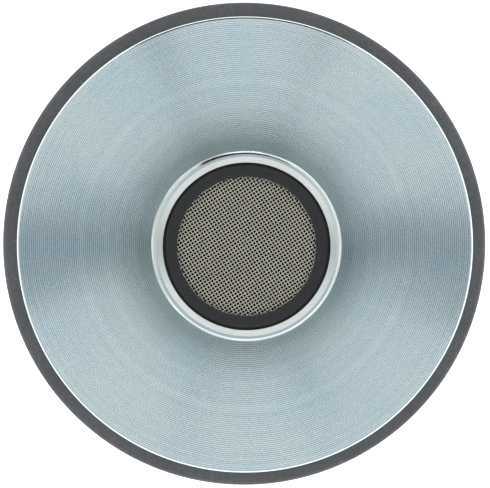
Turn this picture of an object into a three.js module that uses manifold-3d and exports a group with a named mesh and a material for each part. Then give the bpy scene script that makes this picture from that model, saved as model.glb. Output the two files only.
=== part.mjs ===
// A screw-on ferrite compression driver, the sound source that screws into the back of a horn.
//
// Millimetres, +Z up. The driver stands on the flat back of its rear cover, with its threaded throat at the
// top. The origin is the centre of that back face, and the speaker terminals face -Y.
//
// Upwards from the origin: rear cover, diaphragm assembly, top plate, ferrite ring, throat plate, threaded
// snout. The pole piece runs from the snout down through the magnet, and its tip and the hole of the top
// plate form the gap that the voice coil moves in.

import * as THREE from "three";
import { mergeVertices } from "three/addons/utils/BufferGeometryUtils.js";
import { ParametricGeometry } from "three/addons/geometries/ParametricGeometry.js";
import Module from "manifold-3d";

const wasm = await Module();
wasm.setup();

// ---------------------------------------------------------------------------------------------------------
// Driving dimensions
// ---------------------------------------------------------------------------------------------------------

const inch = 25.4;
const facets = { round: 36, small: 16 };
const quarterTurn = Math.PI / 2;

// Gaps between separate pieces.
const gap = {
  press: 0.03, // round a pressed or glued fit
  slide: 0.15, // round a moving fit
  seat: 0.04, // under a turned piece that rests on another
  bolt: 0.2, // round a screw in a plain hole
  tapped: 0.05, // round a screw in its tapped hole
  wire: 0.3, // between a lead's end and what it is soldered to
};

// Motor: ferrite ring between two steel plates.
const magnet = { radius: 45, thickness: 15, chamfer: 0.6, boreStep: 4.3 };
const throatPlate = { thickness: 6.5, edge: 0.6 };
const topPlate = { thickness: 6, edge: 0.6 };

// Snout with the 1 3/8 inch, 18 threads an inch, horn thread, and the throat that runs through it.
const thread = {
  major: (1.375 * inch) / 2,
  pitch: inch / 18,
  depth: 0.613, // share of the pitch
  crest: 0.2, // share of the pitch
  base: 0.94, // share of the pitch
  root: 0.2, // how far the ridge is let into the core
  runOut: 0.3, // turns over which the ridge grows
  chamfer: 1, // 45 degrees, at the rim
};
const snout = { length: 13.5, relief: 1.6, reliefDepth: 0.1 };
const throat = { exit: 0.5 * inch, ledge: 2.1 };
const pole = { tipWall: 5.4, collarWidth: 2, collarThickness: 2 };
const screen = { recess: 15.4, thickness: 0.35 };
const screenRing = { thickness: 1.15, sink: 0.3, outerGap: 0.4, innerLip: 0.05 };

// Moving assembly, from the coil outwards.
const coil = { radius: 17.2, innerGap: 0.25, outerGap: 0.38, former: 0.12, winding: 0.45, height: 4.2 };
const dome = { height: 6.8, wall: 0.12, steps: 5 };
const surround = { width: 2.6, rise: 0.85, film: 0.15, innerLip: 0.78, outerLip: 2.2, steps: 5 };
const spacer = { thickness: 0.5 };
const diaphragmRing = { width: 10.4, thickness: 2.4 };
const excursion = 0.4;

// Phase plug on the pole's tip: rings with slots between them, held together by ribs.
const plug = {
  gap: 0.25, // beyond the diaphragm's travel
  slot: 0.8,
  outerBand: 3.2, // widths of the two outer rings under the dome
  middleBand: 5.2,
  outlet: 1.25, // widths of the slots and of the middle ring at the throat
  middleOutlet: 2.75,
  middleTip: 1.2,
  rimWall: 0.35,
  stem: 13,
  bulletLength: 11,
  rib: 1,
  ribLength: 4,
  steps: 4,
};

// Rear cover: a moulded can with a screw flange.
const cover = {
  height: 21,
  floor: 2.3,
  wall: 2.3,
  flange: 5,
  flangeEdge: 3.9,
  cornerRadius: 3,
  cornerSteps: 4,
  cavityGap: 0.6,
  recess: 24,
  recessDepth: 0.5,
};
const plateStep = 0.4; // how far the steel plates stand out past the cover's flange
const gasket = { thickness: 0.8, inset: 0.7 };
const pad = { radius: 26, thickness: 3.4, backFlat: 18.5 };

// Screws: M4 through the cover, M3 through the diaphragm ring.
const coverScrew = { shank: 2, head: 3.5, headHeight: 2.6, headGap: 0.5, grip: 4.6, slot: 1, slotDepth: 1.5 };
const ringScrew = { shank: 1.5, head: 2.7, headHeight: 1.7, grip: 4, slot: 0.8, slotDepth: 0.9 };
const screwCount = 4;

// Spring terminals, in a row on a flat boss on the cover's side. Lengths run outwards from the boss.
const boss = { inset: 1, margin: 0.8, bottom: 1.5 };
const terminal = { spacing: 15, height: 8.9, travel: 2.5 };
const bushing = {
  flange: 5.4,
  flangeThickness: 1.2,
  barrel: 4,
  length: 7,
  pocket: 3.2,
  pocketFloor: 4.1,
  tail: 3,
  tailSpare: 0.6, // thread left past the nut
  wireHole: 1,
  wireHoleAt: 2.4,
};
const plunger = { radius: 2, clipGroove: 0.4 };
const cap = { skirt: 0.95, head: 1.5, edge: 0.5, headroom: 0.3, wireRoom: 0.3 };
const spring = { wire: 0.45, coils: 5, stepsPerCoil: 12, sides: 5 };
const clip = { radius: 3, thickness: 0.6 };
const tag = { radius: 4.3, thickness: 0.4, tongueWidth: 2.6, tongue: 7.6 };
const nut = { acrossFlats: 8, thickness: 2 };

// Inside wiring, between each terminal's solder tag and the diaphragm's own tabs.
const tab = { angle: 24, width: 3, length: 7, thickness: 0.4, inset: 1.2 };
const leadOut = { width: 1.4, thickness: 0.12 };
const wire = { radius: 0.75, sides: 8, steps: 9 };

// ---------------------------------------------------------------------------------------------------------
// Levels and radii worked out from them
// ---------------------------------------------------------------------------------------------------------

const level = {};
level.flangeRear = cover.height - cover.flange;
level.plateRear = cover.height + gasket.thickness;
level.plateFront = level.plateRear + topPlate.thickness;
level.magnetFront = level.plateFront + magnet.thickness;
level.throatFace = level.magnetFront + throatPlate.thickness;
level.rim = level.throatFace + snout.length;
level.filmFront = level.plateRear - spacer.thickness;
level.filmRear = level.filmFront - surround.film;
level.ringRear = level.filmRear - diaphragmRing.thickness;
level.screen = level.rim - screenRing.sink - screenRing.thickness - screen.thickness;
level.plugSeat = level.plateRear + plug.stem;

const poleRadius = coil.radius - coil.innerGap;
const plugBore = poleRadius - pole.tipWall;
const formerOuter = coil.radius + coil.former;
const coilOuter = formerOuter + coil.winding;
const plateHole = coilOuter + coil.outerGap;
const magnetBore = plateHole + magnet.boreStep;
const threadMinor = thread.major - thread.depth * thread.pitch;

const rollInner = formerOuter + surround.innerLip;
const ringInner = rollInner + surround.width;
const ringOuter = ringInner + diaphragmRing.width;
const ringScrewCircle = (ringInner + ringOuter) / 2 + 1;
const canInner = ringOuter + cover.cavityGap;
const canOuter = canInner + cover.wall;
const coverScrewCircle = canOuter + coverScrew.headGap + coverScrew.head;
const flangeRadius = coverScrewCircle + cover.flangeEdge;
const plateRadius = flangeRadius + plateStep;

// The terminals' boss is flat outside and inside, as wide as the bushings outside and the tags inside.
const bossFace = canOuter - boss.inset;
const bossHalfWidth = terminal.spacing / 2 + bushing.flange + boss.margin;
const bossInner = Math.sqrt(canInner ** 2 - (terminal.spacing / 2 + tag.radius + boss.margin) ** 2);
const bossWall = bossFace - bossInner;

// ---------------------------------------------------------------------------------------------------------
// Materials
// ---------------------------------------------------------------------------------------------------------

const finish = (color, roughness, metalness) => new THREE.MeshStandardMaterial({ color, roughness, metalness });
const zincSteel = finish(0xa9bcc2, 0.35, 1);
const turnedSteel = finish(0xc3cdc9, 0.3, 1);
const ferrite = finish(0x5f5f5f, 0.75, 0);
const wovenSteel = finish(0x8d8a7e, 0.45, 1);
const blackPlastic = finish(0x323133, 0.6, 0);
const greyPlastic = finish(0x55585a, 0.6, 0);
const titanium = finish(0x9a9790, 0.4, 1);
const amberFilm = finish(0xb07a3a, 0.4, 0);
const copper = finish(0xb87348, 0.35, 1);
const fibre = finish(0xb9a684, 0.9, 0);
const foam = finish(0x2b2b2d, 1, 0);
const felt = finish(0x6a6a68, 1, 0);
const blackSteel = finish(0x2a2a2c, 0.45, 1);
const nickel = finish(0xc8c4ba, 0.3, 1);
const brass = finish(0xc9a552, 0.35, 1);
const springSteel = finish(0xa8a8a8, 0.35, 1);
const redPlastic = finish(0xb3201d, 0.4, 0);
const jetPlastic = finish(0x1c1c1d, 0.4, 0);

// ---------------------------------------------------------------------------------------------------------
// Shape helpers
// ---------------------------------------------------------------------------------------------------------

// A body turned about Z from a profile of [radius, height] points, on the axis at both ends or clear of it.
function turned(profile, around = facets.round) {
  const outline = profile.map(([r, z]) => new THREE.Vector2(r, z));
  if (THREE.ShapeUtils.area(outline) < 0) outline.reverse();
  if (outline[0].x > 0) outline.push(outline[0].clone());
  return new THREE.LatheGeometry(outline, around).rotateX(quarterTurn);
}

// A plain ring, or with inner at 0 a plain disc.
function ring(inner, outer, bottom, top, around = facets.round) {
  return turned([[inner, bottom], [outer, bottom], [outer, top], [inner, top]], around);
}

// A ring whose two outer edges are broken by chamfers.
function chamferedRing(inner, outer, bottom, top, lowerEdge, upperEdge, around = facets.round) {
  return turned(
    [
      [inner, bottom],
      [outer - lowerEdge, bottom],
      [outer, bottom + lowerEdge],
      [outer, top - upperEdge],
      [outer - upperEdge, top],
      [inner, top],
    ],
    around,
  );
}

function block(x0, x1, y0, y1, z0, z1) {
  return new THREE.BoxGeometry(x1 - x0, y1 - y0, z1 - z0).translate((x0 + x1) / 2, (y0 + y1) / 2, (z0 + z1) / 2);
}

function rod(radius, bottom, top, x = 0, y = 0, around = facets.small) {
  return ring(0, radius, bottom, top, around).translate(x, y, 0);
}

// The closed solid of a geometry, and the geometry of a solid.
function solid(geometry) {
  const bare = geometry.clone();
  bare.deleteAttribute("normal");
  bare.deleteAttribute("uv");
  const merged = mergeVertices(bare, 1e-4);
  return new wasm.Manifold(
    new wasm.Mesh({
      numProp: 3,
      vertProperties: merged.attributes.position.array,
      triVerts: Uint32Array.from(merged.index.array),
    }),
  );
}

function geometryOf(body) {
  const { vertProperties, triVerts } = body.getMesh();
  const indexed = new THREE.BufferGeometry();
  indexed.setAttribute("position", new THREE.BufferAttribute(vertProperties, 3));
  indexed.setIndex(new THREE.BufferAttribute(triVerts, 1));
  const flat = indexed.toNonIndexed();
  flat.computeVertexNormals();
  return flat;
}

function cut(base, ...tools) {
  return geometryOf(tools.reduce((left, tool) => left.subtract(solid(tool)), solid(base)));
}

function join(...parts) {
  return geometryOf(parts.map(solid).reduce((all, part) => all.add(part)));
}

// Points at equal steps on a circle, each with its angle.
function onCircle(radius, count, firstAngle) {
  return Array.from({ length: count }, (_, i) => {
    const angle = firstAngle + (2 * Math.PI * i) / count;
    return { x: radius * Math.cos(angle), y: radius * Math.sin(angle), angle };
  });
}

// Numbers from 0 to 1 in equal steps.
function shares(steps) {
  return Array.from({ length: steps + 1 }, (_, i) => i / steps);
}

function place(group, name, geometry, material) {
  const mesh = new THREE.Mesh(geometry, material);
  mesh.name = name;
  group.add(mesh);
  return mesh;
}

// ---------------------------------------------------------------------------------------------------------
// Motor
// ---------------------------------------------------------------------------------------------------------

const coverScrewSpots = onCircle(coverScrewCircle, screwCount, Math.PI / 4);
const ringScrewSpots = onCircle(ringScrewCircle, screwCount, 0);

function magnetRing() {
  return chamferedRing(
    magnetBore,
    magnet.radius,
    level.plateFront,
    level.magnetFront,
    magnet.chamfer,
    magnet.chamfer,
  );
}

function throatPlateDisc() {
  return chamferedRing(
    thread.major + gap.press,
    plateRadius,
    level.magnetFront,
    level.throatFace,
    throatPlate.edge / 2,
    throatPlate.edge,
  );
}

function topPlateDisc() {
  const disc = chamferedRing(
    plateHole,
    plateRadius,
    level.plateRear,
    level.plateFront,
    topPlate.edge,
    topPlate.edge / 2,
  );
  const past = 1;
  const coverHoles = coverScrewSpots.map(({ x, y }) =>
    rod(coverScrew.shank + gap.tapped, level.plateRear - past, level.plateFront + past, x, y),
  );
  const ringHoles = ringScrewSpots.map(({ x, y }) =>
    rod(ringScrew.shank + gap.tapped, level.plateRear - past, level.plateRear + ringScrew.grip + past, x, y),
  );
  return cut(disc, ...coverHoles, ...ringHoles);
}

// A right-hand helical ridge that starts at height z0, for a thread that is cut off to length afterwards.
function threadRidge(z0, z1) {
  const turns = (z1 - z0) / thread.pitch;
  const root = threadMinor - thread.root;
  const section = [
    [0, thread.base / 2],
    [1, thread.crest / 2],
    [1, -thread.crest / 2],
    [0, -thread.base / 2],
  ];
  const surface = (u, v, target) => {
    const angle = 2 * Math.PI * turns * v;
    const swell = Math.min(1, (turns * v) / thread.runOut, (turns * (1 - v)) / thread.runOut);
    const side = (u * section.length) % section.length;
    const from = section[Math.floor(side)];
    const to = section[(Math.floor(side) + 1) % section.length];
    const out = THREE.MathUtils.lerp(from[0], to[0], side % 1);
    const along = THREE.MathUtils.lerp(from[1], to[1], side % 1);
    const radius = root + swell * out * (thread.major - root);
    const height = THREE.MathUtils.lerp(z0, z1, v) + swell * along * thread.pitch;
    target.set(radius * Math.cos(angle), radius * Math.sin(angle), height);
  };
  return new ParametricGeometry(surface, section.length, Math.round(turns * facets.round));
}

// One turned piece: pole tip, locating collar, journal in the throat plate, and threaded snout.
function polePiece() {
  const collarRear = level.magnetFront - pole.collarThickness;
  const reliefTop = level.throatFace + snout.relief;
  const reliefRadius = threadMinor - snout.reliefDepth;
  const core = turned([
    [plugBore, level.plateRear],
    [poleRadius, level.plateRear],
    [poleRadius, collarRear],
    [thread.major + pole.collarWidth, collarRear],
    [thread.major + pole.collarWidth, level.magnetFront],
    [thread.major, level.magnetFront],
    [thread.major, level.throatFace],
    [reliefRadius, level.throatFace],
    [reliefRadius, reliefTop],
    [threadMinor, reliefTop],
    [threadMinor, level.rim - thread.chamfer + thread.major - threadMinor],
    [thread.major - thread.chamfer, level.rim],
    [screen.recess, level.rim],
    [screen.recess, level.screen],
    [throat.exit, level.screen],
    [plugBore - throat.ledge, level.plugSeat],
    [plugBore, level.plugSeat],
  ]);
  const envelope = ring(0, thread.major + pole.collarWidth + 1, level.plateRear - 1, level.rim - thread.chamfer);
  const taper = turned([
    [0, level.rim - thread.chamfer],
    [thread.major, level.rim - thread.chamfer],
    [thread.major - thread.chamfer, level.rim],
    [0, level.rim],
  ]);
  const start = reliefTop + thread.pitch / 2;
  const ridge = threadRidge(start, level.rim + thread.pitch);
  const throughThroat = ring(0, screen.recess, level.throatFace, level.rim + 2 * thread.pitch);
  const threads = solid(ridge).intersect(solid(join(envelope, taper))).subtract(solid(throughThroat));
  return geometryOf(solid(core).add(threads));
}

// The dome's rear and front surfaces: how far a sphere through the rim stands behind the rim at a radius.
const domeRadius = (coil.radius ** 2 + dome.height ** 2) / (2 * dome.height);
const domeRise = (r) => Math.sqrt(domeRadius ** 2 - r ** 2) - (domeRadius - dome.height);
const plugSurface = (r) => level.filmRear + plug.gap + excursion - domeRise(r);

// The phase plug fills the dome and leads two ring slots down to the throat.
function phasePlug() {
  const rimRadius = coil.radius - plug.rimWall - coil.innerGap;
  const stemRadius = plugBore - gap.press;
  const seat = level.plugSeat - gap.press;
  const outerSlot = rimRadius - plug.outerBand - plug.slot;
  const innerSlot = outerSlot - plug.middleBand - plug.slot;
  const outerThroat = plugBore - throat.ledge - plug.outlet;
  const innerThroat = outerThroat - plug.middleOutlet - plug.outlet;
  const surfacePoints = (from, to) =>
    shares(plug.steps).map((s) => THREE.MathUtils.lerp(from, to, s)).map((r) => [r, plugSurface(r)]);
  const bullet = turned(
    [...surfacePoints(0, innerSlot), [innerThroat, seat - 3], [0, seat + plug.bulletLength]],
    facets.round,
  );
  const middle = turned(
    [...surfacePoints(innerSlot + plug.slot, outerSlot), [outerThroat, seat - 2], [outerThroat - plug.middleTip, seat]],
    facets.round,
  );
  const seatRear = level.plateRear - gap.press;
  const outer = turned(
    [
      ...surfacePoints(outerSlot + plug.slot, rimRadius),
      [rimRadius, seatRear],
      [stemRadius, seatRear],
      [stemRadius, seat],
      [plugBore - throat.ledge, seat],
      [plugBore - throat.ledge, seatRear + 2],
    ],
    facets.round,
  );
  const ribTop = seat - plug.ribLength;
  const reach = plugBore - throat.ledge / 2;
  const ribs = join(
    block(-reach, reach, -plug.rib / 2, plug.rib / 2, ribTop - plug.ribLength, ribTop),
    block(-plug.rib / 2, plug.rib / 2, -reach, reach, ribTop - plug.ribLength, ribTop),
  );
  return join(bullet, middle, outer, ribs);
}

function throatScreen() {
  return ring(0, screen.recess - gap.slide, level.screen, level.screen + screen.thickness);
}

function screenRetainer() {
  const bottom = level.screen + screen.thickness;
  return ring(
    throat.exit + screenRing.innerLip,
    screen.recess - screenRing.outerGap,
    bottom,
    bottom + screenRing.thickness,
  );
}

const motor = new THREE.Group();
place(motor, "magnet_ring", magnetRing(), ferrite);
place(motor, "throat_plate", throatPlateDisc(), zincSteel);
place(motor, "top_plate", topPlateDisc(), zincSteel);
place(motor, "pole_piece", polePiece(), turnedSteel);
place(motor, "phase_plug", phasePlug(), greyPlastic);
place(motor, "throat_screen", throatScreen(), wovenSteel);
place(motor, "screen_ring", screenRetainer(), blackPlastic);

// ---------------------------------------------------------------------------------------------------------
// Diaphragm assembly
// ---------------------------------------------------------------------------------------------------------

function domeShell() {
  const rear = level.filmRear - gap.seat - dome.wall;
  const radii = shares(dome.steps).map((s) => s * (coil.radius - 0.3));
  const outside = radii.map((r) => [r, rear - domeRise(r)]);
  const inside = [...radii].reverse().map((r) => [r, rear - domeRise(r) + dome.wall]);
  const lip = rollInner - 0.05;
  return turned([...outside, [lip, rear], [lip, rear + dome.wall], ...inside], facets.round);
}

// A flat lip, a half roll that bulges to the rear, and the flat lip that the diaphragm ring clamps.
function surroundFilm() {
  const roll = (offset) =>
    shares(surround.steps).map((s) => [
      rollInner + s * surround.width,
      level.filmRear + offset - surround.rise * Math.sin(Math.PI * s),
    ]);
  const innerEdge = formerOuter + 0.08;
  const outerEdge = ringInner + surround.outerLip;
  return turned(
    [
      [innerEdge, level.filmRear],
      ...roll(0),
      [outerEdge, level.filmRear],
      [outerEdge, level.filmFront],
      ...roll(surround.film).reverse(),
      [innerEdge, level.filmFront],
    ],
    facets.round,
  );
}

const coilMiddle = (level.plateRear + level.plateFront) / 2;
const coilFront = coilMiddle + coil.height / 2;

function coilFormer() {
  return ring(coil.radius, formerOuter, level.filmRear, coilFront + 0.4, facets.round);
}

function voiceCoil() {
  return ring(formerOuter + 0.01, coilOuter, coilFront - coil.height, coilFront, facets.round);
}

function boredRing(inner, outer, bottom, top) {
  const holes = ringScrewSpots.map(({ x, y }) =>
    rod(ringScrew.shank + gap.bolt, bottom - 1, top + 1, x, y),
  );
  return cut(ring(inner, outer, bottom, top, facets.round), ...holes);
}

function mountingRing() {
  return boredRing(ringInner, ringOuter, level.ringRear, level.filmRear);
}

function spacerRing() {
  return boredRing(ringInner + 0.3, ringOuter - 0.3, level.filmFront, level.plateRear);
}

// A pan-head screw that points up, with a cross recess in its head. The head's seat is at the height given.
function panScrew(screw, seat, tip, { x, y, angle }) {
  const rear = seat - screw.headHeight;
  const crown = screw.head - 0.6;
  const body = turned(
    [[0, rear], [crown, rear], [screw.head, rear + 0.7], [screw.head, seat], [screw.shank, seat], [screw.shank, tip], [0, tip]],
    facets.small,
  );
  const reach = screw.head * 0.62;
  const depth = rear + screw.slotDepth;
  const slotHalf = screw.slot / 2;
  const recess = [
    block(-reach, reach, -slotHalf, slotHalf, rear - 1, depth),
    block(-slotHalf, slotHalf, -reach, reach, rear - 1, depth),
  ];
  return cut(body, ...recess).rotateZ(angle).translate(x, y, 0);
}

// A brass tab lies along a radius on the ring's rear face, inside the two spots where the wires end.
function solderTab(side) {
  const inner = ringInner + tab.inset;
  const rear = level.ringRear - tab.thickness;
  return block(inner, inner + tab.length, -tab.width / 2, tab.width / 2, rear, level.ringRear)
    .rotateZ(tabAngle(side));
}

const tabAngle = (side) => -quarterTurn + THREE.MathUtils.degToRad(side * tab.angle);

// A flexible foil that carries the current over the surround, from the coil to the tab.
function leadOutFoil(side) {
  const t = leadOut.thickness;
  const low = level.ringRear - tab.thickness - gap.seat - t;
  const points = [
    [rollInner - 0.5, level.filmRear - 0.5],
    [rollInner + 0.9, level.ringRear + 0.2],
    [ringInner - 0.4, low],
    [ringInner + tab.inset + 1.6, low],
  ];
  const outline = new THREE.Shape();
  points.forEach(([r, z], i) => (i ? outline.lineTo(r, z) : outline.moveTo(r, z)));
  [...points].reverse().forEach(([r, z]) => outline.lineTo(r, z + t));
  return new THREE.ExtrudeGeometry(outline, { depth: leadOut.width, bevelEnabled: false })
    .translate(0, 0, -leadOut.width / 2)
    .rotateX(quarterTurn)
    .rotateZ(tabAngle(side));
}

const diaphragm = new THREE.Group();
place(diaphragm, "dome", domeShell(), titanium);
place(diaphragm, "surround", surroundFilm(), amberFilm);
place(diaphragm, "coil_former", coilFormer(), amberFilm);
place(diaphragm, "voice_coil", voiceCoil(), copper);
place(diaphragm, "diaphragm_ring", mountingRing(), greyPlastic);
place(diaphragm, "spacer_ring", spacerRing(), fibre);
ringScrewSpots.forEach((spot, i) => {
  const tip = level.plateRear + ringScrew.grip;
  place(diaphragm, `ring_screw_${i + 1}`, panScrew(ringScrew, level.ringRear, tip, spot), blackSteel);
});

// ---------------------------------------------------------------------------------------------------------
// Rear cover
// ---------------------------------------------------------------------------------------------------------

function rearCover() {
  const r = cover.cornerRadius;
  const corner = shares(cover.cornerSteps).map((s) => [
    canOuter - r + r * Math.sin(s * quarterTurn),
    r - r * Math.cos(s * quarterTurn),
  ]);
  const shell = turned([
    [0, cover.recessDepth],
    [cover.recess, cover.recessDepth],
    [cover.recess, 0],
    ...corner,
    [canOuter, level.flangeRear],
    [flangeRadius - 0.6, level.flangeRear],
    [flangeRadius, level.flangeRear + 0.6],
    [flangeRadius, cover.height],
    [canInner, cover.height],
    [canInner, cover.floor],
    [0, cover.floor],
  ]);
  const past = 1;
  const sides = [-bossHalfWidth, bossHalfWidth];
  const fill = block(...sides, -bossFace, -bossInner, boss.bottom, level.flangeRear + past);
  const trim = block(...sides, -canOuter - past, -bossFace, -past, level.flangeRear);
  const screwHoles = coverScrewSpots.map(({ x, y }) =>
    rod(coverScrew.shank + gap.bolt, level.flangeRear - past, cover.height + past, x, y),
  );
  const wallHoles = terminalSpots.map((x) =>
    rod(bushing.tail + gap.slide, -past, bossWall + past)
      .rotateX(-quarterTurn)
      .translate(x, -bossFace, terminal.height),
  );
  return cut(join(shell, fill), trim, ...screwHoles, ...wallHoles);
}

function coverGasket() {
  const inner = canInner + gasket.inset;
  const outer = flangeRadius - gasket.inset;
  const holes = coverScrewSpots.map(({ x, y }) =>
    rod(coverScrew.shank + gap.bolt, cover.height - 1, level.plateRear + 1, x, y),
  );
  return cut(ring(inner, outer, cover.height, level.plateRear), ...holes);
}

// A felt disc on the cover's floor, cut straight on the terminals' side.
function dampingPad() {
  const half = Math.asin(pad.backFlat / pad.radius);
  const outline = new THREE.Shape();
  outline.absarc(0, 0, pad.radius, -half, Math.PI + half, false);
  outline.closePath();
  return new THREE.ExtrudeGeometry(outline, {
    depth: pad.thickness,
    bevelEnabled: false,
    curveSegments: facets.round,
  }).translate(0, 0, cover.floor);
}

const terminalSpots = [-terminal.spacing / 2, terminal.spacing / 2];
const rear = new THREE.Group();
place(rear, "rear_cover", rearCover(), blackPlastic);
place(rear, "cover_gasket", coverGasket(), foam);
place(rear, "damping_pad", dampingPad(), felt);
coverScrewSpots.forEach((spot, i) => {
  const tip = level.plateRear + coverScrew.grip;
  place(rear, `cover_screw_${i + 1}`, panScrew(coverScrew, level.flangeRear, tip, spot), blackSteel);
});

// ---------------------------------------------------------------------------------------------------------
// Spring terminals. Each is modelled along +Z from the boss's face, and its group turns it to face -Y.
// ---------------------------------------------------------------------------------------------------------

const wallBack = -bossWall - gap.seat; // where the solder tag lies on the cover's wall
const tailEnd = wallBack - tag.thickness - gap.seat - nut.thickness - bushing.tailSpare;
const springSeat = bushing.pocketFloor + gap.seat;
const skirtEnd = bushing.wireHoleAt + bushing.wireHole + terminal.travel + cap.wireRoom;
const capCeiling = bushing.length + terminal.travel + cap.headroom;
const capTop = capCeiling + cap.head;

// A hole across the terminal for the bare wire.
function wireHole(at) {
  return rod(bushing.wireHole, -bushing.flange, bushing.flange).rotateY(quarterTurn).translate(0, 0, at);
}

function terminalBushing() {
  const bore = plunger.radius + gap.slide;
  const body = turned(
    [
      [bore, tailEnd],
      [bushing.tail, tailEnd],
      [bushing.tail, gap.seat],
      [bushing.flange, gap.seat],
      [bushing.flange, bushing.flangeThickness],
      [bushing.barrel, bushing.flangeThickness],
      [bushing.barrel, bushing.length],
      [bushing.pocket, bushing.length],
      [bushing.pocket, bushing.pocketFloor],
      [bore, bushing.pocketFloor],
    ],
    facets.small,
  );
  return cut(body, wireHole(bushing.wireHoleAt));
}

// The plunger's cross hole stands out of line with the bushing's until the button is pressed.
function terminalPlunger() {
  const grooveFront = tailEnd - gap.seat;
  const grooveRear = grooveFront - clip.thickness - gap.seat;
  const grooveRadius = plunger.radius - plunger.clipGroove;
  const body = turned(
    [
      [0, grooveRear - 0.8],
      [plunger.radius, grooveRear - 0.8],
      [plunger.radius, grooveRear],
      [grooveRadius, grooveRear],
      [grooveRadius, grooveFront],
      [plunger.radius, grooveFront],
      [plunger.radius, capCeiling + cap.head / 2],
      [0, capCeiling + cap.head / 2],
    ],
    facets.small,
  );
  return cut(body, wireHole(bushing.wireHoleAt + terminal.travel));
}

function terminalCap() {
  const skirtInner = bushing.barrel + gap.slide;
  const outer = skirtInner + cap.skirt;
  const socket = plunger.radius + gap.press;
  return turned(
    [
      [0, capCeiling + cap.head / 2 + gap.press],
      [socket, capCeiling + cap.head / 2 + gap.press],
      [socket, capCeiling],
      [skirtInner, capCeiling],
      [skirtInner, skirtEnd],
      [outer, skirtEnd],
      [outer, capTop - cap.edge],
      [outer - cap.edge, capTop],
      [0, capTop],
    ],
    facets.small,
  );
}

class Helix extends THREE.Curve {
  constructor(radius, turns, from, to) {
    super();
    Object.assign(this, { radius, turns, from, to });
  }

  getPoint(t, target = new THREE.Vector3()) {
    const angle = 2 * Math.PI * this.turns * t;
    const height = THREE.MathUtils.lerp(this.from, this.to, t);
    return target.set(this.radius * Math.cos(angle), this.radius * Math.sin(angle), height);
  }
}

// A round bar of a few flat sides, swept along a curve.
function swept(path, radius, sides, steps) {
  const section = new THREE.Shape(
    onCircle(radius, sides, 0).map(({ x, y }) => new THREE.Vector2(x, y)),
  );
  return new THREE.ExtrudeGeometry(section, { extrudePath: path, steps, bevelEnabled: false });
}

function terminalSpring() {
  const middle = (plunger.radius + bushing.pocket) / 2;
  const half = spring.wire / 2;
  const path = new Helix(middle, spring.coils, springSeat + half, capCeiling - gap.seat - half);
  return swept(path, half, spring.sides, spring.coils * spring.stepsPerCoil);
}

function retainingClip() {
  const front = tailEnd - gap.seat - 0.01;
  return ring(
    plunger.radius - plunger.clipGroove + gap.press,
    clip.radius,
    front - clip.thickness,
    front,
    facets.small,
  );
}

function solderTag() {
  const washer = ring(bushing.tail + gap.press, tag.radius, wallBack - tag.thickness, wallBack, facets.small);
  const half = tag.tongueWidth / 2;
  const tongue = block(-half, half, bushing.tail + 0.6, tag.tongue, wallBack - tag.thickness, wallBack);
  return join(washer, tongue);
}

function terminalNut() {
  const front = wallBack - tag.thickness - gap.seat;
  const outer = nut.acrossFlats / 2 / Math.cos(Math.PI / 6);
  const hexagon = ring(0, outer, front - nut.thickness, front, 6);
  return cut(hexagon, rod(bushing.tail + gap.press, front - nut.thickness - 1, front + 1));
}

function springTerminal(colour, x, plastic) {
  const group = new THREE.Group();
  group.position.set(x, -bossFace, terminal.height);
  group.rotation.x = quarterTurn;
  place(group, `${colour}_bushing`, terminalBushing(), nickel);
  place(group, `${colour}_plunger`, terminalPlunger(), nickel);
  place(group, `${colour}_button`, terminalCap(), plastic);
  place(group, `${colour}_spring`, terminalSpring(), springSteel);
  place(group, `${colour}_clip`, retainingClip(), blackSteel);
  place(group, `${colour}_solder_tag`, solderTag(), brass);
  place(group, `${colour}_nut`, terminalNut(), brass);
  return group;
}

// A short insulated lead hangs in a loop from the solder tag to the diaphragm's tab.
function leadWire(side) {
  const tagY = -bossFace - wallBack + tag.thickness + gap.wire + wire.radius;
  const tagX = (side * terminal.spacing) / 2;
  const tagZ = terminal.height + tag.tongue - 1.2;
  const tabRadius = ringInner + tab.inset + tab.length - 1.4;
  const tabX = tabRadius * Math.cos(tabAngle(side));
  const tabY = tabRadius * Math.sin(tabAngle(side));
  const tabZ = level.ringRear - tab.thickness - gap.wire;
  const path = new THREE.CatmullRomCurve3([
    new THREE.Vector3(tagX, tagY, tagZ),
    new THREE.Vector3(tagX + side * 2.2, tagY + 1.6, tagZ - 0.6),
    new THREE.Vector3(tagX + side * 6, tagY + 5, tagZ - 2.5),
    new THREE.Vector3(tabX + side * 0.3, tabY + 0.6, tabZ - 2.4),
    new THREE.Vector3(tabX, tabY, tabZ),
  ]);
  return swept(path, wire.radius, wire.sides, wire.steps);
}

const terminals = new THREE.Group();
[
  ["red", -1, redPlastic],
  ["black", 1, jetPlastic],
].forEach(([colour, side, plastic]) => {
  terminals.add(springTerminal(colour, (side * terminal.spacing) / 2, plastic));
  place(terminals, `${colour}_lead_wire`, leadWire(side), plastic);
  place(terminals, `${colour}_solder_tab`, solderTab(side), brass);
  place(terminals, `${colour}_lead_out`, leadOutFoil(side), copper);
});

const driver = new THREE.Group();
driver.name = "compression_driver";
driver.add(motor, diaphragm, rear, terminals);

export default driver;
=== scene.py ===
# %% [markdown]
# # A screw-on compression driver
#
# A compression driver is the loud half of a horn loudspeaker. A thin dome behind a ring magnet moves the
# air, the air leaves through a threaded snout, and a horn screws on there. Nearly every piece is turned
# on a lathe or moulded round one axis, so most of this lesson is about turned shapes and about how a
# turned metal face catches the light.
#
# The working model comes in as a fixed frame. Its pieces are plain and faceted, so each is either
# replaced by a finer one in the same place or, where its shape is right, given its real finish.

# %% The working model
import math

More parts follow.
